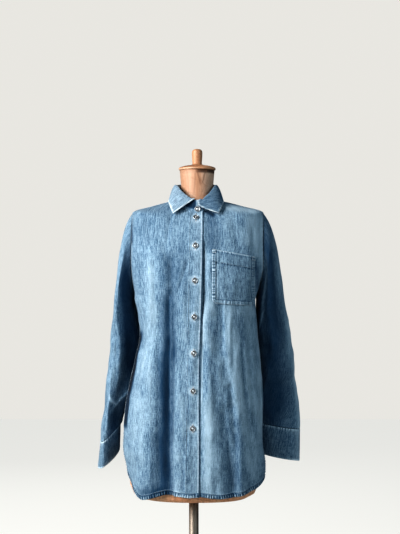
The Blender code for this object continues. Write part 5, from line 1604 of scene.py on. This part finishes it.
# ---------------------------------------------------------------- the dress form
# A hollow shell of pasted paper, made over a mould, sanded and varnished. It has gone brown with age, with
# stains, hair cracks and a few dark splits in its neck.
NECK_TOP = 1.451
FORM = table(
    RING_COLUMNS,
    level_ring(0.637, 0.12, 0.105, 0.078, 0.078, 2.4),
    level_ring(0.64, 0.141, 0.126, 0.092, 0.092, 2.4),
    level_ring(0.65, 0.158, 0.144, 0.101, 0.101, 2.4),
    level_ring(0.672, 0.167, 0.1535, 0.105, 0.106, 2.35),
    level_ring(0.72, 0.169, 0.16, 0.106, 0.108, 2.3),
    level_ring(0.8, 0.163, 0.158, 0.101, 0.104, 2.2),
    level_ring(0.88, 0.148, 0.146, 0.093, 0.094, 2.1),
    level_ring(0.96, 0.127, 0.128, 0.084, 0.083, 2.1),
    level_ring(1.02, 0.116, 0.117, 0.08, 0.077, 2.1),
    level_ring(1.08, 0.121, 0.122, 0.089, 0.08, 2.2),
    level_ring(1.13, 0.13, 0.131, 0.103, 0.085, 2.3),
    level_ring(1.18, 0.139, 0.139, 0.111, 0.09, 2.4),
    level_ring(1.23, 0.147, 0.147, 0.107, 0.092, 2.3),
    (1.28, 1.28, 1.27, 1.283, 0.154, 0.155, 0.095, 0.09, 2.2),
    (1.325, 1.325, 1.292, 1.312, 0.157, 0.16, 0.085, 0.085, 2.2),
    (1.345, 1.3385, 1.302, 1.325, 0.154, 0.157, 0.08, 0.082, 2.2),
    (1.4, 1.3565, 1.324, 1.36, 0.107, 0.108, 0.068, 0.066, 2.1),
    (1.453, 1.3705, 1.34, 1.379, 0.058, 0.058, 0.057, 0.048, 2.0),
    (1.475, 1.384, 1.358, 1.391, 0.0445, 0.0445, 0.046, 0.043, 2.0),
    (1.5, 1.404, 1.39, 1.407, 0.0402, 0.0402, 0.041, 0.04, 2.0),
    (1.55, 1.451, 1.451, 1.451, 0.0433, 0.0433, 0.0433, 0.0433, 2.0),
)
FORM_TURNS, FORM_ROWS = 128, 150

# Dark splits in the paper of the neck, each from its top to its foot, and how far each has blackened.
NECK_SPLITS = table(
    "top_x foot_x top_z foot_z much",
    (0.0085, 0.015, 1.45, 1.415, 0.62),
    (0.03, 0.02, 1.45, 1.418, 0.6),
    (0.004, 0.001, 1.442, 1.392, 0.34),
    (-0.016, -0.0125, 1.448, 1.4, 0.22),
)


def pasted_paper():
    """Varnished pasted paper: overlapping scraps of slightly different browns, darker seams and fine cracks,
    painted paler towards the wearer's left as light on the side in shade, redder and painted paler at the foot,
    where the hem's shadow falls, with a painted shadow below the cap and dark splits in the neck."""
    browns = (0.320, 0.168, 0.102, 1), (0.655, 0.430, 0.305, 1)
    shaded_side_browns = (0.600, 0.350, 0.230, 1), (0.970, 0.710, 0.550, 1)
    red_and_lit_browns = (0.920, 0.420, 0.230, 1), (1.000, 0.720, 0.480, 1)
    seam_brown, crack_brown = (0.34, 0.185, 0.100, 1), (0.16, 0.080, 0.045, 1)
    run_brown, stain_brown = (0.450, 0.235, 0.140, 1), (0.40, 0.200, 0.115, 1)
    split_brown, cap_shadow_black = (0.200, 0.095, 0.052, 1), (0.060, 0.026, 0.014, 1)

    made, g, shader = new_finish("varnished paper")
    place, x, _, z = g.place()
    to_edge = {"feature": "DISTANCE_TO_EDGE"}
    scraps = g.node("TexVoronoi", Vector=place, Scale=26.0, Randomness=0.9)
    edges = g.node("TexVoronoi", Vector=place, Scale=26.0, Randomness=0.9, **to_edge).outputs["Distance"]
    drawn = g.node("Mapping", place, Scale=(20, 20, 34)).outputs[0]
    crack = g.node("TexVoronoi", Vector=drawn, Scale=1.0, **to_edge).outputs["Distance"]
    cloudy = g.noise(place, (22, 22, 30), 4.0, 0.6)
    fine = g.noise(place, (190, 190, 240), 3.0, 0.6)
    fibres = g.noise(place, (60, 60, 900), 2.0, 0.6)
    stains = g.noise(place, (150, 150, 12), 3.0, 0.6)
    streaks = g.noise(place, (110, 110, 9), 2.0, 0.5)
    scrap_tone = g.node("SeparateColor", scraps.outputs["Color"]).outputs[0]
    tone = g.math("MULTIPLY_ADD", scrap_tone, 0.30, g.math("MULTIPLY_ADD", cloudy, 0.9, -0.18))
    tone = g.math("MULTIPLY_ADD", fine, 0.30, g.math("ADD", tone, -0.15), clamp=True)
    # Painted light: paler towards the wearer's left, the side in shade.
    colour = g.mix(g.ramp(x, -0.030, 0.035), g.mix(tone, *browns), g.mix(tone, *shaded_side_browns))
    # Redder at the foot, and painted paler there where the hem's shadow falls.
    colour = g.mix(g.ramp(z, 0.700, 0.672), colour, g.mix(tone, *red_and_lit_browns))
    colour = g.mix(g.ramp(edges, 0.0, 0.030, 0.16, 0.0), colour, seam_brown)
    colour = g.mix(g.ramp(crack, 0.0, 0.014, 0.18, 0.0), colour, crack_brown)

    from_middle = g.math("ABSOLUTE", g.math("ADD", x, -0.010))
    runs = g.times(g.ramp(from_middle, 0.026, 0.004), g.ramp(streaks, 0.30, 0.62, 0.38, 0.80))
    colour = g.mix(g.times(runs, g.ramp(z, 1.34, 1.37)), colour, run_brown)
    # A painted shadow below the cap, darkest towards the wearer's left.
    cap_shadow = g.times(g.ramp(z, 1.4405, 1.4450), g.ramp(x, 0.002, 0.012, 0.15, 0.92))
    colour = g.mix(cap_shadow, colour, cap_shadow_black)
    wandering = g.math("ADD", x, g.math("MULTIPLY_ADD", cloudy, 0.006, -0.003))
    for top_x, foot_x, top_z, foot_z, much in zip(*NECK_SPLITS.values()):
        slope = (top_x - foot_x) / (top_z - foot_z)
        path = g.math("MULTIPLY_ADD", z, slope, foot_x - foot_z * slope)
        away = g.math("ABSOLUTE", g.math("SUBTRACT", wandering, path))
        length = g.times(g.ramp(z, foot_z - 0.006, foot_z + 0.004), g.ramp(z, top_z + 0.002, top_z - 0.002))
        split_here = g.times(g.ramp(away, 0.0032, 0.0008), length)
        colour = g.mix(g.times(split_here, much), colour, split_brown)
    colour = g.mix(g.ramp(stains, 0.46, 0.68, 0.0, 0.50), colour, stain_brown)

    height = g.math("MULTIPLY_ADD", g.ramp(edges, 0.0, 0.05), 0.6, g.times(fine, 0.7))
    height = g.math("MULTIPLY_ADD", fibres, 0.15, height)
    height = g.math("MULTIPLY_ADD", g.ramp(crack, 0.0, 0.02), 0.5, height)
    g.fill(shader, Base_Color=colour, Roughness=g.ramp(cloudy, 0.3, 0.7, 0.42, 0.62),
           Normal=g.bump(height, 0.6, 0.0006))
    return made


paper = pasted_paper()
form_levels = np.linspace(FORM["level"][3], FORM["level"][-1], FORM_ROWS)
form_levels = np.concatenate([FORM["level"][:1], FORM["level"][1:3], form_levels])
form_turns = np.arange(FORM_TURNS) * 360 / FORM_TURNS - 180
form = add_solid("dress_form", ring_points(FORM, form_turns[None], form_levels[:, None]), paper)
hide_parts("form_torso")

# ---------------------------------------------------------------- the neck cap
# Turned beech, stained and waxed: a low disc over the neck with a knob to lift the form by. The knob and the
# disc's lower lip carry painted highlights on their lit side, and the side in shade is painted paler.


def lathe(name, profile, middle, finish, steps):
    """A body turned about an upright axis: (radius, height) from its underside up its outer side."""
    around = np.arange(steps) * 2 * np.pi / steps
    radius, height = np.array(profile, float).T
    ring = np.stack([np.cos(around), np.sin(around)], -1)[None] * radius[:, None, None]
    points = np.concatenate([ring, np.broadcast_to(height[:, None, None], (*ring.shape[:2], 1))], -1)
    return add_solid(name, points + np.array(middle), finish)


def rounded(profile, steps=5):
    """A profile's corners cut by Chaikin's rule, which keeps its ends, so that it turns smoothly."""
    line = np.array(profile, float)
    for _ in range(steps):
        quarter = line[:-1] * 0.75 + line[1:] * 0.25
        three = line[:-1] * 0.25 + line[1:] * 0.75
        line = np.concatenate([line[:1], np.stack([quarter, three], 1).reshape(-1, 2)[1:-1], line[-1:]])
    return line


def turned_beech():
    """Stained beech with long grain, short dark flecks, turning lines and waxed high spots, painted paler
    towards the wearer's left as light on the side in shade, with painted highlights on the knob's lit side and
    the lower lip's."""
    made, g, shader = new_finish("stained beech")
    place, x, _, z = g.place()
    grain = g.noise(place, (40, 260, 40), 4.0, 0.6)
    flecks = g.noise(place, (120, 900, 260), 2.0, 0.5)
    lines = g.noise(place, (3, 3, 1600), 2.0, 0.5)
    tone = g.math("MULTIPLY_ADD", grain, 1.1, g.math("MULTIPLY_ADD", flecks, 0.5, -0.35), clamp=True)
    stained = g.mix(tone, (0.232, 0.098, 0.047, 1), (0.490, 0.256, 0.140, 1))
    shaded_side_colour = g.mix(tone, (0.540, 0.245, 0.122, 1), (0.930, 0.560, 0.340, 1))
    # Painted light: paler towards the wearer's left, the side in shade.
    colour = g.mix(g.ramp(x, -0.005, 0.045), stained, shaded_side_colour)
    # Painted highlights on the knob's lit side and on the lower lip's lit side.
    knob_highlight = g.times(g.ramp(x, 0.009, 0.002), g.ramp(z, 1.4640, 1.4720))
    colour = g.mix(g.times(knob_highlight, 0.34), colour, (0.780, 0.470, 0.275, 1))
    lip_highlight = g.times(g.ramp(x, 0.018, -0.012), g.ramp(z, 1.4562, 1.4552))
    colour = g.mix(g.times(lip_highlight, 0.45), colour, (0.930, 0.680, 0.500, 1))
    height = g.math("MULTIPLY_ADD", lines, 0.5, g.times(grain, 0.5))
    g.fill(shader, Base_Color=colour, Roughness=g.ramp(grain, 0.3, 0.7, 0.46, 0.60),
           Normal=g.bump(height, 0.4, 0.0003), Coat_Weight=0.08, Coat_Roughness=0.35)
    return made


beech = turned_beech()
cap_profile = rounded(
    [(0.0445, 0.0), (0.0462, 0.0008), (0.0462, 0.0040), (0.0455, 0.0058), (0.0400, 0.0082), (0.0300, 0.0108),
     (0.0180, 0.0126), (0.0130, 0.0140), (0.0117, 0.0168), (0.0120, 0.0220), (0.0127, 0.0300),
     (0.0131, 0.0400), (0.0131, 0.0450), (0.0122, 0.0490), (0.0090, 0.0518), (0.0045, 0.0530),
     (0.0004, 0.0530)], 2)
cap = lathe("neck_cap_turned", cap_profile, (BODY_X, 0, NECK_TOP + SEAM_GAP), beech, 112)
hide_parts("neck_cap")

# ---------------------------------------------------------------- the pole and the base
# A plain nickelled tube, dulled and freckled, in a round cast base painted black. The tube's side towards the
# lamp is painted paler as painted light, more so higher up.


def metal(name, dark, light, rough, metallic, painted_light=0.0):
    """Dulled metal: cloudy tarnish, fine upright brushing, small dark freckles and one side painted paler as
    painted light, more so higher up."""
    made, g, shader = new_finish(name)
    place, x, _, z = g.place()
    clouds = g.noise(place, (45, 45, 18), 4.0, 0.6)
    brushed = g.noise(place, (1500, 1500, 40), 2.0, 0.5)
    freckles = g.ramp(g.noise(place, (420, 420, 420), 2.0, 0.6), 0.62, 0.72)
    colour = g.mix(clouds, (*dark, 1), (*light, 1))
    colour = g.mix(g.times(freckles, 0.5), colour, (*[c * 0.4 for c in dark], 1))
    # Painted light on the side towards the lamp, strongest near the top under the form.
    rubbed = g.times(g.ramp(x, 0.000, -0.010), g.ramp(z, 0.40, 0.62, 0.45, 1.0))
    colour = g.mix(g.times(rubbed, painted_light), colour, (0.740, 0.640, 0.550, 1))
    g.fill(shader, Base_Color=colour, Roughness=g.ramp(clouds, 0.3, 0.7, rough - 0.08, rough + 0.1),
           Metallic=metallic, Normal=g.bump(g.math("ADD", brushed, freckles), 0.3, 0.0002))
    return made


POLE_RADIUS, POLE_CHAMFER = 0.012, 0.0006
BASE_HEIGHT = 0.032
FORM_BOTTOM = 0.637
pole_top = FORM_BOTTOM - SEAM_GAP
pole_foot = BASE_HEIGHT + SEAM_GAP
nickel = metal("dulled nickel", (0.150, 0.128, 0.106), (0.330, 0.290, 0.250), 0.50, 0.65, painted_light=0.75)
pole_profile = [(POLE_RADIUS - POLE_CHAMFER, pole_foot), (POLE_RADIUS, pole_foot + POLE_CHAMFER),
                (POLE_RADIUS, pole_top - POLE_CHAMFER), (POLE_RADIUS - POLE_CHAMFER, pole_top)]
pole = lathe("pole_tube", pole_profile, (0, 0, 0), nickel, 64)
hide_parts("pole")

iron = metal("painted iron", (0.020, 0.019, 0.018), (0.060, 0.057, 0.054), 0.48, 0.2)
base_profile = rounded(
    [(0.1890, 0.0), (0.1900, 0.0008), (0.1900, 0.0048), (0.1820, 0.0094), (0.1500, 0.0118), (0.0600, 0.0168),
     (0.0240, 0.0206), (0.0212, 0.0236), (0.0200, 0.0290), (0.0178, 0.0318), (0.0160, 0.0320)], 2)
base = lathe("round_base", base_profile, (0, 0, 0), iron, 128)
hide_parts("base")
